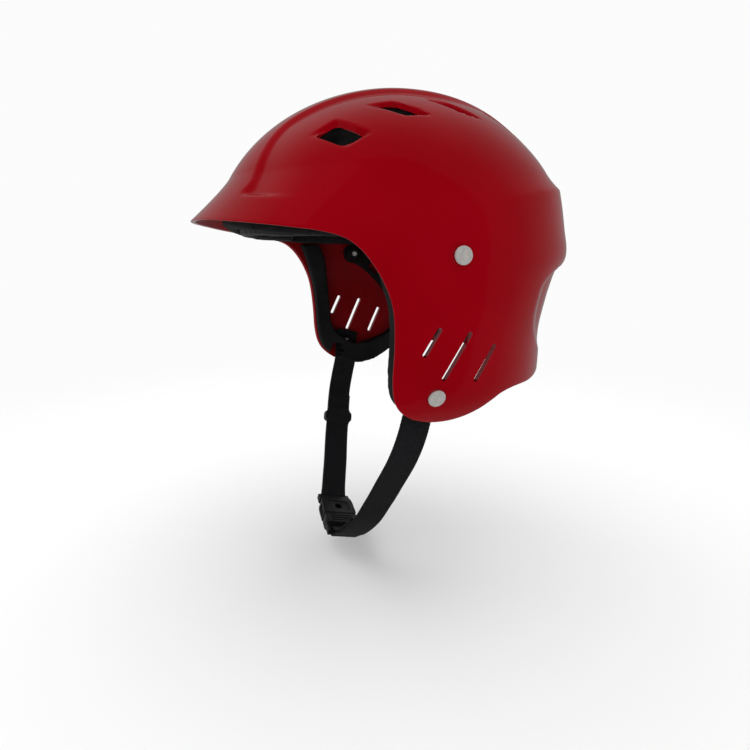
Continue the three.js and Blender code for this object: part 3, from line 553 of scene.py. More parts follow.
def foam():
    """Closed-cell foam: charcoal, matt, with fine pores."""
    finish = Finish("closed_cell_foam", 0.86)
    finish.colours(finish.noise(45, 5), (0.006, 0.0062, 0.0065), (0.013, 0.0132, 0.0135))
    finish.roughness(finish.noise(300, 3), 0.74, 0.94)
    finish.bump(finish.cells(950), 0.35, 0.12)
    finish.bump(finish.noise(160, 5), 0.25, 0.25)
    finish.set(Specular_IOR_Level=0.3)
    return finish.material


def knit():
    """Brushed knit over the comfort pads."""
    finish = Finish("pad_knit", 0.92)
    finish.colours(finish.noise(420, 4), (0.006, 0.0065, 0.007), (0.014, 0.015, 0.0165))
    finish.bump(finish.cells(1300, (1, 1, 1.7)), 0.55, 0.18)
    finish.bump(finish.noise(90, 4), 0.2, 0.3)
    finish.set(Sheen_Weight=0.1, Sheen_Roughness=0.45, Specular_IOR_Level=0.25)
    return finish.material


def brushed_steel():
    """Satin rivet heads, brushed in fine rings with a few scratches."""
    finish = Finish("rivet_steel", 0.42, 0.45)
    finish.colours(finish.noise(500, 3), (0.58, 0.56, 0.53), (0.74, 0.715, 0.68))
    finish.roughness(finish.noise(900, 4, (0.3, 1, 3)), 0.34, 0.55)
    finish.bump(finish.noise(2600, 3, (0.2, 0.3, 2.0)), 0.25, 0.03)
    finish.bump(finish.noise(1200, 4, (0.2, 2.6, 0.4)), 0.15, 0.03)
    return finish.material


def moulded_nylon():
    """Black moulded plastic with a fine spark-eroded grain."""
    finish = Finish("moulded_nylon", 0.42)
    finish.colours(finish.noise(160, 4), (0.0045, 0.0045, 0.005), (0.0095, 0.0095, 0.010))
    finish.roughness(finish.noise(420, 3), 0.34, 0.52)
    finish.bump(finish.noise(2400, 3), 0.22, 0.05)
    return finish.material


def woven(name, dark, light):
    """Flat woven webbing: the map's U runs across the strap and V along it, in millimetres."""
    finish = Finish(name, 0.82)
    bricks = finish.node("ShaderNodeTexBrick", Scale=1.0)
    bricks.inputs["Brick Width"].default_value = 2.6
    bricks.inputs["Row Height"].default_value = 1.15
    bricks.inputs["Mortar Size"].default_value = 0.2
    bricks.inputs["Mortar Smooth"].default_value = 1.0
    turned = finish.node("ShaderNodeMapping")
    turned.inputs["Rotation"].default_value = (0, 0, math.radians(90))
    finish.join(finish.place.outputs["UV"], turned.inputs["Vector"])
    finish.join(turned.outputs["Vector"], bricks.inputs["Vector"])
    lifted = finish.node("ShaderNodeMath", operation="SUBTRACT")
    lifted.inputs[0].default_value = 1.0
    finish.join(bricks.outputs["Fac"], lifted.inputs[1])
    finish.colours(finish.noise(700, 4), dark, light)
    finish.bump(lifted.outputs["Value"], 0.9, 0.3)
    finish.bump(finish.noise(4.0, 3, (6, 1, 1), "UV"), 0.35, 0.1)
    finish.set(Sheen_Weight=0.04, Sheen_Roughness=0.4, Specular_IOR_Level=0.3)
    return finish.material


def thread():
    finish = Finish("bonded_thread", 0.6)
    finish.colours(finish.noise(900, 2), (0.02, 0.02, 0.022), (0.045, 0.045, 0.05))
    finish.bump(finish.noise(2200, 2, (1, 1, 4)), 0.5, 0.06)
    return finish.material


RED = painted_shell()
SHADED_RED_INSIDE = shaded_shell_inside()
FOAM = foam()
KNIT = knit()
STEEL = brushed_steel()
NYLON = moulded_nylon()
WEBBING = woven("strap_weave", (0.0040, 0.0038, 0.0055), (0.0100, 0.0096, 0.0128))
THREAD = thread()


def declare(obj, body, slot, *nodes):
    """Rides on a body and stands for CAD nodes, which it hides; its slot argument is not used."""
    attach(obj, body)
    if nodes:
        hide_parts(*nodes)
    return obj


# ------------------------------------------------------------------ shell
def catmull_rom(points, count):
    points = np.asarray(points, float)
    t = np.linspace(0, len(points) - 1, count)
    index = np.minimum(t.astype(int), len(points) - 2)
    w = (t - index)[:, None]
    before = points[np.maximum(index - 1, 0)]
    start = points[index]
    end = points[index + 1]
    after = points[np.minimum(index + 2, len(points) - 1)]
    v0 = (end - before) / 2
    v1 = (after - start) / 2
    return ((2 * start - 2 * end + v0 + v1) * w ** 3
            + (-3 * start + 3 * end - 2 * v0 - v1) * w ** 2 + v0 * w + start)


def even_points(points, count):
    """The same line with evenly spaced points, and the distance to each."""
    run = np.r_[0, np.cumsum(np.linalg.norm(np.diff(points, axis=0), axis=1))]
    even = np.linspace(0, run[-1], count)
    return np.stack([np.interp(even, run, column) for column in np.asarray(points).T], -1), even


def rim_track(count):
    """Angle and height of the rim, from the middle of the brim to the middle of the nape."""
    y, z = catmull_rom(RIM, 1600).T
    low = np.zeros(len(y))
    high = np.full(len(y), math.pi)
    for _ in range(44):
        angle = (low + high) / 2
        ahead = surface(angle, z, 0)[:, 1] < y
        low = np.where(ahead, angle, low)
        high = np.where(ahead, high, angle)
    inside = np.flatnonzero((angle > 1e-5) & (angle < math.pi - 1e-5))
    angle = np.r_[0, angle[inside], math.pi]
    z = np.r_[z[inside[0]], z[inside], z[inside[-1]]]
    spots = surface(angle, z, 0)
    run = np.r_[0, np.cumsum(np.linalg.norm(np.diff(spots, axis=0), axis=1))]
    even = np.linspace(0, run[-1], count + 1)
    return np.interp(even, run, angle), np.interp(even, run, z)


def climb(rim_angle, rim_z, share, inset):
    """Point at one share of the way from the rim to the crown, for every column."""
    top = CROWN_HEIGHT - inset
    quarter = math.pi / 2
    level = np.where(rim_z > 0, np.arcsin(np.clip(rim_z / top, 0, 1)) / quarter, rim_z / (top * quarter))
    level = level + (1 - level) * share
    z = np.where(level > 0, top * np.sin(np.clip(level, 0, 1) * quarter), level * top * quarter)
    spread = np.linspace(0, math.pi, len(rim_angle))
    return surface(rim_angle + (spread - rim_angle) * share, z, inset)


def shell_body():
    rim_angle, rim_z = rim_track(RIM_COLUMNS)
    tiny = 1e-3
    step = climb(rim_angle, rim_z, tiny, 0) - climb(rim_angle, rim_z, 0, 0)
    speed = np.linalg.norm(step, axis=1) / tiny
    near = EDGE_RADIUS / speed
    rows = []
    for j in range(INNER_ROWS - 1, -1, -1):
        share = near + (1 - near) * (j / INNER_ROWS)
        rows.append(climb(rim_angle, rim_z, share, SHELL_THICKNESS))
    turns = [math.radians(a) for a in (22, 45, 68, 90)]
    for turn in turns:
        share = near * (1 - math.sin(turn))
        rows.append(climb(rim_angle, rim_z, share, SHELL_THICKNESS - EDGE_RADIUS * (1 - math.cos(turn))))
    for turn in reversed(turns):
        share = near * (1 - math.sin(turn))
        rows.append(climb(rim_angle, rim_z, share, EDGE_RADIUS * (1 - math.cos(turn))))
    cut_rows = len(rows)
    for j in range(OUTER_ROWS):
        share = near + (1 - near) * (j / OUTER_ROWS)
        rows.append(climb(rim_angle, rim_z, share, 0))
    half = np.array(rows)
    other = half[:, -2:0:-1] * np.array([-1, 1, 1])
    grid = np.concatenate([half, other], 1)
    outer = grid[cut_rows:]
    across = np.roll(outer, -1, 1) - np.roll(outer, 1, 1)
    along = np.gradient(outer, axis=0)
    normal = np.cross(across, along)
    normal /= np.linalg.norm(normal, axis=-1, keepdims=True)
    normal *= np.sign((normal * (outer - np.array([0, 0, -20.0]))).sum(-1, keepdims=True))
    grid[cut_rows:] = outer + normal * relief(outer)[..., None]
    count = grid.shape[1]
    points = list(grid.reshape(-1, 3))
    points.append((0, SECTION_CENTRE_Y, CROWN_HEIGHT - SHELL_THICKNESS))
    points.append((0, SECTION_CENTRE_Y, CROWN_HEIGHT))
    faces = domed_faces(len(rows), count)
    shell = mesh_object("shell_moulding", points, faces, RED)
    shell.data.materials.append(SHADED_RED_INSIDE)
    # the inner face and cut edge take the red with painted shade
    inside = np.zeros(len(faces), np.int32)
    inside[:(cut_rows - 6) * count] = 1
    inside[-2 * count::2] = 1
    shell.data.polygons.foreach_set("material_index", inside)
    return flip_if_inside_out(shell)


def vent_outline(length, width, margin=0.0):
    """A four-sided opening with rounded corners, in the vent's slanted frame."""
    outline = []
    for k in range(48):
        angle = 2 * math.pi * (k + 0.5) / 48
        c = math.cos(angle)
        s = math.sin(angle)
        outline.append(((length / 2 + margin) * math.copysign(abs(c) ** 0.3, c),
                        (width / 2 + margin) * math.copysign(abs(s) ** 0.3, s)))
    return outline


def vent_cutters(vent, margin=0.0):
    x, y, heading, length, width = vent
    centre, long, short, normal = vent_frame(x, y, heading)
    cutters = []
    for side in (1, -1):
        points = []
        for depth in (-26, 12):
            for p, q in vent_outline(length, width, margin):
                spot = centre + long * p + short * q + normal * depth
                points.append((side * spot.x, spot.y, spot.z))
        faces = slab_faces(len(points) // 2)
        cutters.append(flip_if_inside_out(mesh_object("vent_cutter", points, faces, RED)))
    return cutters


def slot_outline(top, bottom):
    """A long slot with round ends, in the side view."""
    top = Vector(top)
    bottom = Vector(bottom)
    along = (bottom - top).normalized()
    turn = math.atan2(along.y, along.x)
    radius = SLOT_WIDTH / 2
    outline = []
    for end, inward, start in ((top, 1, turn + math.pi / 2), (bottom, -1, turn - math.pi / 2)):
        for i in range(9):
            angle = start + i / 8 * math.pi
            outline.append((end.x + inward * along.x * radius + math.cos(angle) * radius,
                            end.y + inward * along.y * radius + math.sin(angle) * radius))
    return outline


# turns an outline drawn in (y, z) so that it is raised along x
SIDE_VIEW = Matrix(((0, 0, 1, 0), (1, 0, 0, 0), (0, 1, 0, 0), (0, 0, 0, 1)))


def side_cutters(outline):
    return [prism("side_cutter", outline, 60, 150, RED, SIDE_VIEW),
            prism("side_cutter", outline, -150, -60, RED, SIDE_VIEW)]


def build_shell():
    shell = shell_body()
    for vent in VENTS:
        cut(shell, *vent_cutters(vent))
    for top, bottom in EAR_SLOTS:
        cut(shell, *side_cutters(slot_outline(top, bottom)))
    cut(shell, *side_cutters(disc_outline(SCREW_HOLE_RADIUS)))
    cut(shell, *side_cutters(disc_outline(SCREW_HOLE_RADIUS, centre=STRAP_PIVOT)))
    crease(shell, 38)
    declare(shell, "helmet", "shell", "shell")


# ------------------------------------------------------------------ foam and pads
LAYER_COLUMNS = 168
LAYER_ROWS = 84
LAYER_FLOOR_Z = -110


def dome_layer(outer, inner, flare):
    """The closed space between two depths below the shell's face, down to well below its rim."""
    heights = [LAYER_FLOOR_Z * (1 - i / 40) for i in range(40)]
    shares = [math.sin(i / (LAYER_ROWS - 40) * math.pi / 2) for i in range(LAYER_ROWS - 40)]
    angle = np.linspace(0, 2 * math.pi, LAYER_COLUMNS, endpoint=False)
    rows = []
    for inset, order in ((inner, -1), (outer, 1)):
        levels = heights + [share * (CROWN_HEIGHT - inset) for share in shares]
        rows += [surface(angle, z, inset, flare) for z in levels[::order]]
    points = list(np.concatenate(rows))
    points.append((0, SECTION_CENTRE_Y, CROWN_HEIGHT - inner))
    points.append((0, SECTION_CENTRE_Y, CROWN_HEIGHT - outer))
    faces = domed_faces(len(rows), LAYER_COLUMNS)
    return flip_if_inside_out(mesh_object("dome_layer", points, faces, FOAM))


def duplicate(obj, name):
    return link(bpy.data.objects.new(name, obj.data.copy()))


def soften(obj, material, voxel, passes):
    """Rounds the edges of a block cut from a dome layer."""
    remesh = obj.modifiers.new("remesh", "REMESH")
    remesh.mode = "VOXEL"
    remesh.voxel_size = voxel * MM
    smooth = obj.modifiers.new("smooth", "SMOOTH")
    smooth.iterations = passes
    smooth.factor = 0.5
    bake(obj)
    obj.data.materials.clear()
    obj.data.materials.append(material)
    obj.data.shade_smooth()
    return obj


def side_prism(outline, low=-170, high=170):
    return prism("side_prism", outline, low, high, FOAM, SIDE_VIEW)


def mirror_copy(obj, name):
    copy = duplicate(obj, name)
    copy.data.transform(Matrix.Scale(-1, 4, (1, 0, 0)))
    copy.data.flip_normals()
    return copy


def keep(obj, *cutters):
    for cutter in cutters:
        combine(obj, cutter, "INTERSECT")
    return obj


LINER_INSETS = (4.9, 15.8)
PAD_INSETS = (16.6, 23.8)
FRONT_SPLIT_Y = -78
REAR_SPLIT_Y = 87
CROWN_SPLIT_X = 57
SPLIT_GAP = 0.6
LINER_EDGE = [
    [-165, 26], [-125, 20.4], [-112, 15.8], [-90, 12.2], [-60, 10.2], [-30, 9], [REAR_SPLIT_Y, 9],
]
EAR_PAD_INSIDE = [
    [45, -64], [34.5, -70.8], [26, -76.7], [15.5, -81], [5, -83.7], [-4, -83.2], [-13, -78.5],
    [-21, -71.3], [-24.7, -60], [-25.1, -44], [-26.3, -25], [-28.5, -6.4], [-33.6, 8.2],
]
EAR_PAD_TOP_Z = 8.2
EAR_PAD_MARGIN = 1.6           # from the shell's rim to the pad
EAR_PAD_TOP_MARGIN = 8.5       # more of it at the top, where the pad leaves the rim
EAR_PAD_NARROW_Z = -22         # below this the margin is the plain one
STRAP_SWING = math.radians(14)


def build_liner():
    foam = dome_layer(*LINER_INSETS, 0)
    edge = catmull_rom(LINER_EDGE[:6], 60).tolist()
    above = edge + [[REAR_SPLIT_Y, 9], [REAR_SPLIT_Y, -25], [165, -25], [165, 140], [-165, 140]]
    keep(foam, side_prism(above))
    for vent in VENTS:
        cut(foam, *vent_cutters(vent, 1.2))
    front_y = FRONT_SPLIT_Y - SPLIT_GAP
    rear_y = REAR_SPLIT_Y + SPLIT_GAP
    middle = (FRONT_SPLIT_Y + SPLIT_GAP, REAR_SPLIT_Y - SPLIT_GAP)
    crown_x = CROWN_SPLIT_X - SPLIT_GAP
    blocks = {
        "front": ((-170, -170, -40), (170, front_y, 140)),
        "rear": ((-170, rear_y, -40), (170, 170, 140)),
        "crown": ((-crown_x, middle[0], 20), (crown_x, middle[1], 140)),
        "left": ((CROWN_SPLIT_X + SPLIT_GAP, middle[0], 0), (170, middle[1], 140)),
    }
    pieces = {}
    for word, (low, high) in blocks.items():
        pieces[word] = keep(duplicate(foam, "liner_" + word + "_foam"), block("room", low, high, FOAM))
        soften(pieces[word], FOAM, 1.9, 3)
    pieces["right"] = mirror_copy(pieces["left"], "liner_right_foam")
    bpy.data.objects.remove(foam)
    for word, piece in pieces.items():
        declare(piece, "helmet", "foam", "liner_" + word)


def strap_pocket():
    """Room for the webbing behind the ear pad over its whole swing, as the hull of where it goes."""
    points = []
    half = WEB_WIDTH / 2 + 0.8
    for swing in (-STRAP_SWING, 0, STRAP_SWING):
        lean = STRAP_LEAN + swing
        for x, down in STRAP_DROP[:7]:
            for across in (-half, half):
                y = STRAP_PIVOT[0] - down * math.sin(lean) + across * math.cos(lean)
                z = STRAP_PIVOT[1] - down * math.cos(lean) - across * math.sin(lean)
                points += [(x - WEB_THICKNESS / 2 - 0.8, y, z), (120, y, z)]
    work = bmesh.new()
    for point in points:
        work.verts.new(Vector(point) * MM)
    hull = bmesh.ops.convex_hull(work, input=work.verts)
    bmesh.ops.delete(work, geom=[g for g in hull["geom_interior"] if isinstance(g, bmesh.types.BMVert)],
                     context="VERTS")
    mesh = bpy.data.meshes.new("strap_pocket")
    work.to_mesh(mesh)
    work.free()
    return flip_if_inside_out(link(bpy.data.objects.new("strap_pocket", mesh)))


def build_ear_pads():
    rim = catmull_rom(RIM, 900)
    rim = rim[(rim[:, 0] > -64.5) & (rim[:, 0] < 45) & (rim[:, 1] < EAR_PAD_TOP_Z)]
    along = np.gradient(rim, axis=0)
    along /= np.linalg.norm(along, axis=1, keepdims=True)
    rise = np.clip((rim[:, 1] - EAR_PAD_NARROW_Z) / (EAR_PAD_TOP_Z - EAR_PAD_NARROW_Z), 0, None)
    margin = EAR_PAD_MARGIN + EAR_PAD_TOP_MARGIN * rise ** 1.5
    edge = rim + np.stack([-along[:, 1], along[:, 0]], -1) * margin[:, None]
    band = edge[::4].tolist() + catmull_rom(EAR_PAD_INSIDE, 90).tolist()
    pad = keep(dome_layer(4.9, 14.8, BRIM_FLARE), side_prism(band, 40, 170))
    cut(pad, block("above", (40, -80, EAR_PAD_TOP_Z), (170, 60, 40), FOAM), strap_pocket())
    soften(pad, FOAM, 1.15, 9)
    pad.name = "ear_pad_left_foam"
    other = mirror_copy(pad, "ear_pad_right_foam")
    for word, piece in (("left", pad), ("right", other)):
        declare(piece, "helmet", "foam", "ear_pad_" + word)


def inflate(obj, cap, pressure=4.0):
    """Blows a pad up as cloth, and limits how far any point moves."""
    rest = np.array([v.co for v in obj.data.vertices])
    cloth = obj.modifiers.new("cloth", "CLOTH")
    cloth.settings.use_pressure = True
    cloth.settings.uniform_pressure_force = pressure
    cloth.settings.effector_weights.gravity = 0
    cloth.settings.quality = 5
    scene = bpy.context.scene
    scene.frame_start = 1
    scene.frame_end = 20
    cloth.point_cache.frame_start = 1
    cloth.point_cache.frame_end = 20
    for number in range(1, 21):
        scene.frame_set(number)
    graph = bpy.context.evaluated_depsgraph_get()
    done = obj.evaluated_get(graph).to_mesh()
    moved = np.array([v.co for v in done.vertices]) - rest
    size = np.linalg.norm(moved, axis=1, keepdims=True)
    moved *= np.minimum(1, cap * MM / np.maximum(size, 1e-9))
    obj.modifiers.clear()
    obj.data.vertices.foreach_set("co", (rest + moved).ravel())
    obj.data.update()
    scene.frame_set(1)
    return obj


PAD_ROOMS = {
    "brow_pad": [[-165, 19], [-119, 14.2], [-108, 12], [-90, 10.4], [-60, 9.8], [-60, 35], [-165, 43]],
    "rear_pad": [[63, 13], [165, 13], [165, 45], [63, 45]],
    "side_pad": [[-37, 23], [39, 23], [35, 49], [-33, 49]],
}


def finish_pad(pad, body, *nodes):
    subdivide = pad.modifiers.new("fine", "SUBSURF")
    subdivide.levels = 1
    subdivide.render_levels = 1
    bake(pad)
    pad.data.shade_smooth()
    declare(pad, body, "pad", *nodes)


def build_pads():
    layer = dome_layer(*PAD_INSETS, 0)
    for name, outline in PAD_ROOMS.items():
        low = 40 if name == "side_pad" else -170
        pad = keep(duplicate(layer, name), side_prism(outline, low, 170))
        soften(pad, KNIT, 2.2, 14)
        inflate(pad, 2.0)
        if name == "side_pad":
            pad.name = "side_pad_left_cushion"
            finish_pad(mirror_copy(pad, "side_pad_right_cushion"), "helmet", "side_pad_right")
            finish_pad(pad, "helmet", "side_pad_left")
        else:
            pad.name = name + "_cushion"
            finish_pad(pad, "helmet", name)
    crown = keep(layer, block("room", (-37, -43, 60), (37, 49, 140), FOAM))
    soften(crown, KNIT, 2.6, 5)
    inflate(crown, 2.0)
    crown.name = "crown_pad_cushion"
    finish_pad(crown, "helmet", "crown_pad")
    nape = duplicate(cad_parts["nape_pad"], "nape_pad_cushion")
    soften(nape, KNIT, 2.2, 5)
    inflate(nape, 1.5)
    finish_pad(nape, "yoke", "nape_pad")


# ------------------------------------------------------------------ fasteners
BOSS_X = 103.2
SHANK_RADIUS = 2.2
SCREW_SHANK_END = -14.4
RIVET_SHANK_END = -9.4
RIVET_HEAD_LIFT = 0.5          # the rivet's head stands this far off its axis point


def turned_part(node, ending, profile, material, slot, place):
    part = lathe(node + ending, profile, material, place)
    declare(crease(part, 40), "helmet", slot, node)


def build_fasteners():
    rim = SCREW_HEAD_RADIUS
    face = [
        (rim - 0.3, 0), (rim, 0.25), (rim, 0.8), (rim - 0.15, 1.2), (rim - 0.6, 1.5),
        (rim - 0.9, 1.56), (rim - 1.2, 1.5), (rim - 2.4, 1.52), (1.5, 1.6), (0, 1.62),
    ]
    screw = [(0, SCREW_SHANK_END), (SHANK_RADIUS, SCREW_SHANK_END), (SHANK_RADIUS, 0)] + face
    rivet = [(0, RIVET_SHANK_END), (SHANK_RADIUS, RIVET_SHANK_END), (SHANK_RADIUS, RIVET_HEAD_LIFT)]
    rivet += [(radius, height + RIVET_HEAD_LIFT) for radius, height in face]
    boss = [
        (2.6, -4.4), (5.0, -4.4), (5.4, -4.2), (6.6, -2.4), (6.8, -2.0),
        (6.8, -0.3), (6.5, 0), (2.6, 0), (2.6, -4.4),
    ]
    washer = [
        (2.8, -1.5), (4.4, -1.5), (4.8, -1.3), (5.2, -0.8),
        (5.2, -0.1), (5.1, 0), (2.8, 0), (2.8, -1.5),
    ]
    for side, word in ((1, "left"), (-1, "right")):
        temple = along_x(HALF_WIDTH + 1, 0, 0, side)
        rivet_place = along_x(RIVET_HEAD_X, *STRAP_PIVOT, side, RIVET_TILT)
        washer_place = along_x(WASHER_X, *STRAP_PIVOT, side, RIVET_TILT)
        turned_part("temple_screw_" + word, "_head", screw, STEEL, "steel", temple)
        turned_part("strap_rivet_" + word, "_head", rivet, STEEL, "steel", rivet_place)
        turned_part("temple_boss_" + word, "_ring", boss, NYLON, "nylon", along_x(BOSS_X, 0, 0, side))
        turned_part("strap_washer_" + word, "_ring", washer, NYLON, "nylon", washer_place)


# ------------------------------------------------------------------ cradle
def refined_copy(node, name, material, width, body, slot):
    """A CAD solid with its edges rounded and its bends shaded smooth."""
    work = bmesh.new()
    work.from_mesh(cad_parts[node].data)
    bmesh.ops.remove_doubles(work, verts=work.verts, dist=1e-6)
    bmesh.ops.dissolve_limit(work, angle_limit=math.radians(1), verts=work.verts, edges=work.edges)
    mesh = bpy.data.meshes.new(name)
    work.to_mesh(mesh)
    work.free()
    mesh.materials.clear()
    mesh.materials.append(material)
    obj = link(bpy.data.objects.new(name, mesh))
    bevel(obj, width, 2, 40)
    crease(obj, 50)
    return declare(obj, body, slot, node)


# node, width of its rounded edges and body
CRADLE_PARTS = (
    ("cradle_arm_left", 0.5, "cradle"),
    ("cradle_arm_right", 0.5, "cradle"),
    ("cradle_yoke", 0.7, "yoke"),
    ("dial_housing", 0.4, "yoke"),
    ("dial_knob", 0.6, "dial"),
    ("dial_pinion", 0.15, "dial"),
)


def build_cradle():
    for node, width, body in CRADLE_PARTS:
        refined_copy(node, node + "_moulding", NYLON, width, body, "nylon")


# ------------------------------------------------------------------ chin strap
# the loop's own frame: x across the head, y down the loop, z across the webbing
LOOP = frame_matrix((0, *STRAP_PIVOT), (1, 0, 0), (0, -math.sin(STRAP_LEAN), -math.cos(STRAP_LEAN)),
                    (0, math.cos(STRAP_LEAN), -math.sin(STRAP_LEAN)))
BUCKLE = LOOP @ Matrix.Translation((*SOCKET_EYE, 0)) @ Matrix.Rotation(BUCKLE_TURN, 4, "Z")


def strap_line(side, approach, eye, tail_drop):
    """Centre line of one strap in the loop's plane: down, round the eye bar and back up to its tail."""
    route = [[side * x, y] for x, y in STRAP_DROP] + approach + [list(eye)]
    line, run = even_points(catmull_rom(route, 900), 260)
    along = np.gradient(line, axis=0)
    along /= np.linalg.norm(along, axis=1, keepdims=True)
    normal = np.stack([along[:, 1], -along[:, 0]], -1) * side
    to_eye = run[-1] - run
    doubled = smooth_step((line[:, 1] - tail_drop + 22) / 20) * WEB_LAYER_PITCH / 2
    spread = doubled + (EYE_WRAP_RADIUS - doubled) * smooth_step(1 - to_eye / 10)
    down = line + normal * spread[:, None]
    back = (line - normal * spread[:, None])[line[:, 1] > tail_drop]
    last = normal[-1]
    heading = np.array([-last[1], last[0]]) * side
    turn = [np.array(eye) + EYE_WRAP_RADIUS * (last * math.cos(a) + heading * math.sin(a))
            for a in np.linspace(0, math.pi, 16)[1:-1]]
    return even_points(np.concatenate([down, turn, back[::-1]]), 420)


def webbing_section():
    """Half-round edges and a flat middle: (across, through) points round one cross-section."""
    corner = WEB_WIDTH / 2 - WEB_EDGE_RADIUS
    flat = np.linspace(-corner, corner, 13)
    half = WEB_THICKNESS / 2
    top = [(w, half) for w in flat]
    right = [(corner + WEB_EDGE_RADIUS * math.cos(a), half * math.sin(a))
             for a in np.linspace(1.1, -1.1, 5)]
    bottom = [(w, -half) for w in flat[::-1]]
    left = [(-x, -y) for x, y in right]
    return np.array(top + right + bottom + left)


def webbing(name, line, run, place):
    """Webbing swept along a centre line, mapped in millimetres across and along."""
    section = webbing_section()
    along = np.gradient(line, axis=0)
    along /= np.linalg.norm(along, axis=1, keepdims=True)
    normal = np.stack([along[:, 1], -along[:, 0]], -1)
    points = []
    pull = 1 + 0.012 * np.sin(run * 2 * math.pi / 2.3)
    for spot, out, share in zip(line, normal, pull):
        for across, through in section:
            points.append((spot[0] + out[0] * through, spot[1] + out[1] * through, across * share))
    count = len(section)
    faces = grid_faces(len(line), count)
    faces.append(list(range(count)))
    faces.append([(len(line) - 1) * count + k for k in range(count)])
    obj = mesh_object(name, points, faces, WEBBING, place)
    layer = obj.data.uv_layers.new(name="weave")
    around = np.r_[0, np.cumsum(np.linalg.norm(np.diff(section, axis=0), axis=1))]
    loops = np.zeros((len(obj.data.loops), 2))
    index = np.zeros(len(obj.data.loops), np.int32)
    obj.data.loops.foreach_get("vertex_index", index)
    loops[:, 0] = around[index % count]
    loops[:, 1] = run[index // count]
    layer.data.foreach_set("uv", loops.ravel())
    flip_if_inside_out(obj)
    return crease(obj, 60)


TACK_WIDTH = 14
RIVET_TACKS = (19, 24, 29)     # distances from the rivet's end of the webbing
TAIL_TACKS = (3.5, 6.5)        # distances from the tail's end
SEAM_LENGTH = 10
SEAM_ROWS = (-7.5, 7.5)


def build_straps():
    right, right_run = strap_line(-1, [[-40.8, 113]], SOCKET_EYE, RIGHT_TAIL_DROP)
    left, left_run = strap_line(1, [[37, 112.5], [23, 125]], PLUG_EYE, LEFT_TAIL_DROP)
    for word, line, run in (("right", right, right_run), ("left", left, left_run)):
        strap = webbing("strap_" + word + "_webbing", line, run, LOOP)
        declare(strap, "chin_strap", "webbing", "strap_" + word)
        outside = 1 if word == "left" else -1
        seams = []
        for place in RIVET_TACKS:
            for face in (-1, 1):
                seams += bar_tack(line, run, place, TACK_WIDTH, face)
        for from_end in TAIL_TACKS:
            seams += bar_tack(line, run, run[-1] - from_end, TACK_WIDTH, -outside)
        seams += strap_stitches(line, run, RIVET_TACKS[0], SEAM_LENGTH, SEAM_ROWS, outside)
        stitches = stitch_mesh(seams, "strap_" + word + "_stitching")
        declare(stitches, "chin_strap", "webbing")


SLIDER_UPPER = STRAP_DROP[9]
SLIDER_LOWER = STRAP_DROP[11]
SLIDER_SLOPE = (SLIDER_UPPER[0] - SLIDER_LOWER[0]) / (SLIDER_LOWER[1] - SLIDER_UPPER[1])
SLIDER_X = -SLIDER_UPPER[0] + SLIDER_SLOPE * (SLIDER_DROP - SLIDER_UPPER[1])
SLIDER = (LOOP @ Matrix.Translation((SLIDER_X, SLIDER_DROP, 0))
          @ Matrix.Rotation(-math.atan(SLIDER_SLOPE), 4, "Z"))
# turns an outline drawn in (x, z) so that it is raised along y
FLAT = Matrix(((1, 0, 0, 0), (0, 0, -1, 0), (0, 1, 0, 0), (0, 0, 0, 1)))


def rounded_rectangle(low, high, radius, steps=5):
    outline = []
    corners = ((high[0] - radius, high[1] - radius, 0), (low[0] + radius, high[1] - radius, 90),
               (low[0] + radius, low[1] + radius, 180), (high[0] - radius, low[1] + radius, 270))
    for x, y, start in corners:
        for i in range(steps + 1):
            angle = math.radians(start + 90 * i / steps)
            outline.append((x + radius * math.cos(angle), y + radius * math.sin(angle)))
    return outline


SLIDER_WIDTH = 24.2
SLIDER_HEIGHT = 9.6


def build_slider():
    half = SLIDER_WIDTH / 2
    tall = SLIDER_HEIGHT / 2
    frame_ = prism("strap_slider_frame", rounded_rectangle((-tall, -half), (tall, half), 3.2), -3.3, 3.3,
                   NYLON, SLIDER @ SIDE_VIEW)
    cut(frame_, block("passage", (-2.3, -9, -10.4), (2.3, 9, 10.4), NYLON, SLIDER))
    for low, high in ((-3.1, -0.9), (0.9, 3.1)):
        cut(frame_, prism("window", rounded_rectangle((low, -10.4), (high, 10.4), 0.9), -6, 6,
                          NYLON, SLIDER @ SIDE_VIEW))
    bevel(frame_, 0.7, 3, 40)
    declare(crease(frame_, 45), "slider", "nylon", "strap_slider")
    build_slider_wrap()


def build_slider_wrap():
    """The webbing where it comes out through the slider's windows and lies over its middle bar."""
    reach = np.linspace(-1, 1, 25)
    rise = 2.0 + 2.5 * np.cos(reach * math.pi / 2) ** 0.6
    line = np.stack([rise, reach * 6.4], -1)
    run = np.concatenate([[0], np.cumsum(np.linalg.norm(np.diff(line, axis=0), axis=1))])
    wrap = webbing("strap_slider_wrap", line, run, SLIDER)
    declare(wrap, "slider", "webbing")


def buckle_eye(name, x, reach):
    """The bar that the webbing wraps round, and the two arms that hold it."""
    bar = prism(name, disc_outline(EYE_BAR_RADIUS, 24, (x, 0)), -12.6, 12.6, NYLON, BUCKLE)
    for side in (-1, 1):
        z = sorted((side * 10.9, side * 13.1))
        low, high = sorted((x - math.copysign(1.4, reach), x + reach))
        add(bar, block("eye_arm", (low, -2.0, z[0]), (high, 2.0, z[1]), NYLON, BUCKLE))
    return bar


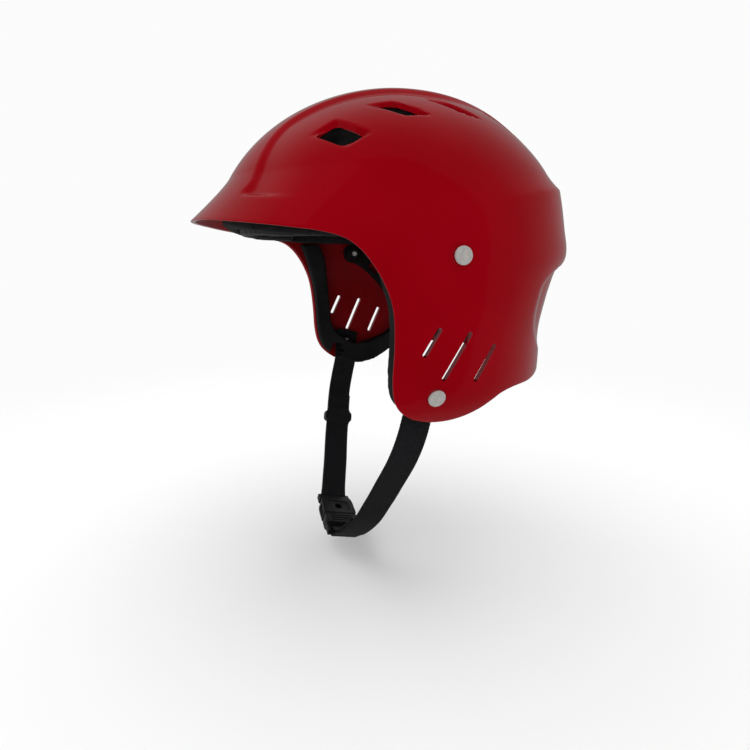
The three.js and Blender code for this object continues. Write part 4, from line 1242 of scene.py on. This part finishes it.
def build_socket():
    outline = [(4.6, -11.0), (8, -12.7), (12, -13.2), (SOCKET_END - 1, -13.2), (SOCKET_END, -12.4),
               (SOCKET_END, 12.4), (SOCKET_END - 1, 13.2), (12, 13.2), (8, 12.7), (4.6, 11.0)]
    body = prism("buckle_socket_body", outline, -4.8, 4.8, NYLON, BUCKLE @ FLAT)
    cut(body, block("hollow", (7.5, -2.9, -11), (SOCKET_END + 5, 2.9, 11), NYLON, BUCKLE))
    for side in (-1, 1):
        z = sorted((side * 9.5, side * 20))
        cut(body, block("side_window", (12, -2.9, z[0]), (22.6, 2.9, z[1]), NYLON, BUCKLE))
    cut(body, prism("sight_hole", disc_outline(3.0, 32, (16.5, 0)), -8, 8, NYLON, BUCKLE @ FLAT))
    for face in (-1, 1):
        depth = sorted((face * 4.3, face * 6))
        panel = rounded_rectangle((10.4, -8.6), (22.8, 8.6), 2.0)
        cut(body, prism("panel", panel, depth[0], depth[1], NYLON, BUCKLE @ FLAT))
    add(body, buckle_eye("socket_eye", 0, 6.0))
    bevel(body, 0.45, 3, 40)
    declare(crease(body, 45), "chin_strap", "nylon", "buckle_socket")


def build_plug():
    low = SOCKET_END + 0.5
    high = BUCKLE_LENGTH - 6
    outline = [(low, -12.6), (low + 1, -13), (high - 2, -13), (high, -11.6),
               (high, 11.6), (high - 2, 13), (low + 1, 13), (low, 12.6)]
    body = prism("buckle_plug_body", outline, -4.4, 4.4, NYLON, BUCKLE @ FLAT)
    for face in (-1, 1):
        for number in range(3):
            x = low + 2.6 + 2.6 * number
            depth = sorted((face * 3.9, face * 6))
            groove = rounded_rectangle((x, -9), (x + 1.1, 9), 0.5)
            cut(body, prism("grip_groove", groove, depth[0], depth[1], NYLON, BUCKLE @ FLAT))
    add(body, block("tongue", (10, -1.4, -2), (SOCKET_END + 1, 1.4, 2), NYLON, BUCKLE))
    add(body, buckle_eye("plug_eye", BUCKLE_LENGTH, -7.5))
    bevel(body, 0.45, 3, 40)
    declare(crease(body, 45), "chin_strap", "nylon", "buckle_plug")


def build_release_arms():
    """Sprung prongs: each ends in a ribbed thumb pad that fills the socket's side window."""
    for word, side in (("rear", 1), ("front", -1)):
        outline = [(25.1, 6.4), (25.1, 9.4), (22.6, 9.9), (21.8, 12.2), (21.2, 12.7), (19.9, 12.35),
                   (19.3, 12.7), (18.0, 12.35), (17.4, 12.7), (16.1, 12.35), (15.5, 12.7), (14.0, 12.6),
                   (12.6, 10.0), (9.2, 8.8), (9.2, 7), (13, 6.4)]
        arm = prism("release_arm_" + word + "_prong", [(x, side * z) for x, z in outline], -2.2, 2.2,
                    NYLON, BUCKLE @ FLAT)
        bevel(arm, 0.25, 2, 50)
        declare(crease(arm, 50), "release_" + word, "nylon", "release_arm_" + word)


STITCH_LENGTH = 2.2
STITCH_RADIUS = 0.28


def stitch_mesh(seams, name):
    """Short rounded stitches: each seam is a list of (centre, along, out) in the loop's frame."""
    points = []
    faces = []
    for centre, along, out in seams:
        side = np.cross(along, out)
        start = len(points)
        for share, swell_ in ((-1, 0.35), (-0.7, 0.9), (0, 1), (0.7, 0.9), (1, 0.35)):
            for k in range(6):
                angle = 2 * math.pi * k / 6
                ring = (side * math.cos(angle) + out * math.sin(angle)) * STITCH_RADIUS * swell_
                points.append(centre + along * share * STITCH_LENGTH / 2 + ring)
        faces += grid_faces(5, 6, start)
        faces.append([start + k for k in range(6)])
        faces.append([start + 24 + k for k in range(6)][::-1])
    return flip_if_inside_out(mesh_object(name, points, faces, THREAD, LOOP))


def strap_spot(line, run, place, outside):
    """Point at one distance along the webbing, its heading, and the way out of one face."""
    spot = np.array([np.interp(place, run, line[:, 0]), np.interp(place, run, line[:, 1])])
    beyond = place + 1
    ahead = np.array([np.interp(beyond, run, line[:, 0]), np.interp(beyond, run, line[:, 1])])
    along = (ahead - spot) / np.linalg.norm(ahead - spot)
    return spot, along, np.array([along[1], -along[0], 0]) * outside


def strap_stitches(line, run, start, length, rows, outside):
    """Rows of stitches along a stretch of webbing, on its outer or inner face."""
    seams = []
    for row in rows:
        for place in np.arange(start, start + length, STITCH_LENGTH * 1.35):
            spot, along, out = strap_spot(line, run, place, outside)
            centre = np.array([spot[0], spot[1], row]) + out * (WEB_THICKNESS / 2)
            seams.append((centre, np.array([along[0], along[1], 0]), out))
    return seams


def bar_tack(line, run, place, width, outside):
    """A dense bar of stitches across the webbing."""
    spot, _, out = strap_spot(line, run, place, outside)
    seams = []
    for z in np.arange(-width / 2, width / 2 + 0.1, STITCH_LENGTH * 0.95):
        centre = np.array([spot[0], spot[1], z]) + out * (WEB_THICKNESS / 2)
        seams.append((centre, np.array([0, 0, 1.0]), out))
    return seams


# ------------------------------------------------------------------ stage, light and camera
def build_stage():
    floor_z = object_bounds()[0][2] / MM - 12
    rings = np.linspace(0, 1, 30) ** 1.5 * 2600
    points = [(0, 0, floor_z)]
    for radius in rings[1:]:
        points += [(radius * math.cos(a), radius * math.sin(a), floor_z)
                   for a in np.linspace(0, 2 * math.pi, 64, endpoint=False)]
    faces = [(0, 1 + k, 1 + (k + 1) % 64) for k in range(64)]
    for i in range(len(rings) - 2):
        for k in range(64):
            a = 1 + i * 64 + k
            b = 1 + i * 64 + (k + 1) % 64
            faces.append((a, a + 64, b + 64, b))
    finish = Finish("pale_floor", 0.9)
    finish.set(Base_Color=(0.93, 0.93, 0.93, 1), Specular_IOR_Level=0.0)
    reach = finish.node("ShaderNodeVectorMath", operation="LENGTH")
    finish.join(finish.place.outputs["Object"], reach.inputs[0])
    fade = finish.node("ShaderNodeMapRange", interpolation_type="SMOOTHSTEP")
    fade.inputs["From Min"].default_value = 0.2
    fade.inputs["From Max"].default_value = 0.8
    fade.inputs["To Min"].default_value = 1.0
    fade.inputs["To Max"].default_value = 0.0
    finish.join(reach.outputs["Value"], fade.inputs["Value"])
    finish.join(fade.outputs["Result"], finish.shader.inputs["Alpha"])
    floor = mesh_object("floor", points, faces, finish.material)
    floor.visible_glossy = False


def area_light(name, place, size, power):
    """A square light that faces the origin."""
    data = bpy.data.lights.new(name, "AREA")
    data.shape = "RECTANGLE"
    data.size = size
    data.size_y = size
    data.energy = power
    lamp = link(bpy.data.objects.new(name, data))
    lamp.visible_glossy = False
    lamp.location = place
    lamp.rotation_euler = (-Vector(place)).to_track_quat("-Z", "Y").to_euler()


def build_world():
    """Pale surroundings. What the gloss mirrors is darker on the near side, as in a tented studio."""
    world = bpy.data.worlds.new("studio")
    bpy.context.scene.world = world
    world.use_nodes = True
    tree = world.node_tree
    tree.nodes.clear()
    output = tree.nodes.new("ShaderNodeOutputWorld")
    seen = tree.nodes.new("ShaderNodeBackground")
    seen.inputs["Color"].default_value = (0.97, 0.97, 0.97, 1)
    seen.inputs["Strength"].default_value = 1.0
    mirrored = tree.nodes.new("ShaderNodeBackground")
    place = tree.nodes.new("ShaderNodeTexCoord")
    aim = tree.nodes.new("ShaderNodeVectorMath")
    aim.operation = "DOT_PRODUCT"
    aim.inputs[1].default_value = Vector((0.93, -0.34, -0.12)).normalized()
    tree.links.new(place.outputs["Generated"], aim.inputs[0])
    ramp = tree.nodes.new("ShaderNodeValToRGB")
    ramp.color_ramp.interpolation = "LINEAR"
    ramp.color_ramp.elements[0].position = 0.18
    ramp.color_ramp.elements[0].color = (0.30, 0.30, 0.30, 1)
    ramp.color_ramp.elements[1].position = 0.90
    ramp.color_ramp.elements[1].color = (0.006, 0.006, 0.006, 1)
    for position, level in ((0.56, 0.075), (0.715, 0.052), (0.73, 0.014)):
        ramp.color_ramp.elements.new(position).color = (level, level, level, 1)
    half = tree.nodes.new("ShaderNodeMapRange")
    half.inputs["From Min"].default_value = -1.0
    half.inputs["From Max"].default_value = 1.0
    tree.links.new(aim.outputs["Value"], half.inputs["Value"])
    tree.links.new(half.outputs["Result"], ramp.inputs["Fac"])
    tree.links.new(ramp.outputs["Color"], mirrored.inputs["Color"])
    mirrored.inputs["Strength"].default_value = 1.0
    path = tree.nodes.new("ShaderNodeLightPath")
    mix = tree.nodes.new("ShaderNodeMixShader")
    tree.links.new(path.outputs["Is Glossy Ray"], mix.inputs["Fac"])
    tree.links.new(seen.outputs["Background"], mix.inputs[1])
    tree.links.new(mirrored.outputs["Background"], mix.inputs[2])
    tree.links.new(mix.outputs["Shader"], output.inputs["Surface"])


CAMERA_PLACE = (361.5, -135.5, 2.27)
CAMERA_YAW = math.radians(71.28)
CAMERA_PITCH = math.radians(-6.88)
FOCAL_LENGTH = 24.17
FRAME_SHIFT = -0.084


def build_camera():
    data = bpy.data.cameras.new("camera")
    data.sensor_width = 36
    data.lens = FOCAL_LENGTH
    data.shift_y = FRAME_SHIFT
    data.clip_start = 0.01
    camera = link(bpy.data.objects.new("camera", data))
    ahead = Vector((-math.sin(CAMERA_YAW) * math.cos(CAMERA_PITCH),
                    math.cos(CAMERA_YAW) * math.cos(CAMERA_PITCH), math.sin(CAMERA_PITCH)))
    camera.location = Vector(CAMERA_PLACE) * MM
    camera.rotation_euler = ahead.to_track_quat("-Z", "Y").to_euler()
    bpy.context.scene.camera = camera


bpy.context.scene.view_settings.view_transform = "Standard"
build_camera()
build_world()
build_stage()
area_light("key", (-0.5, -0.9, 1.7), 1.6, 7)
area_light("top", (0.1, 0.3, 1.9), 1.2, 4)

build_shell()
build_liner()
build_ear_pads()
build_pads()
build_fasteners()
build_cradle()
build_straps()
build_slider()
build_socket()
build_plug()
build_release_arms()
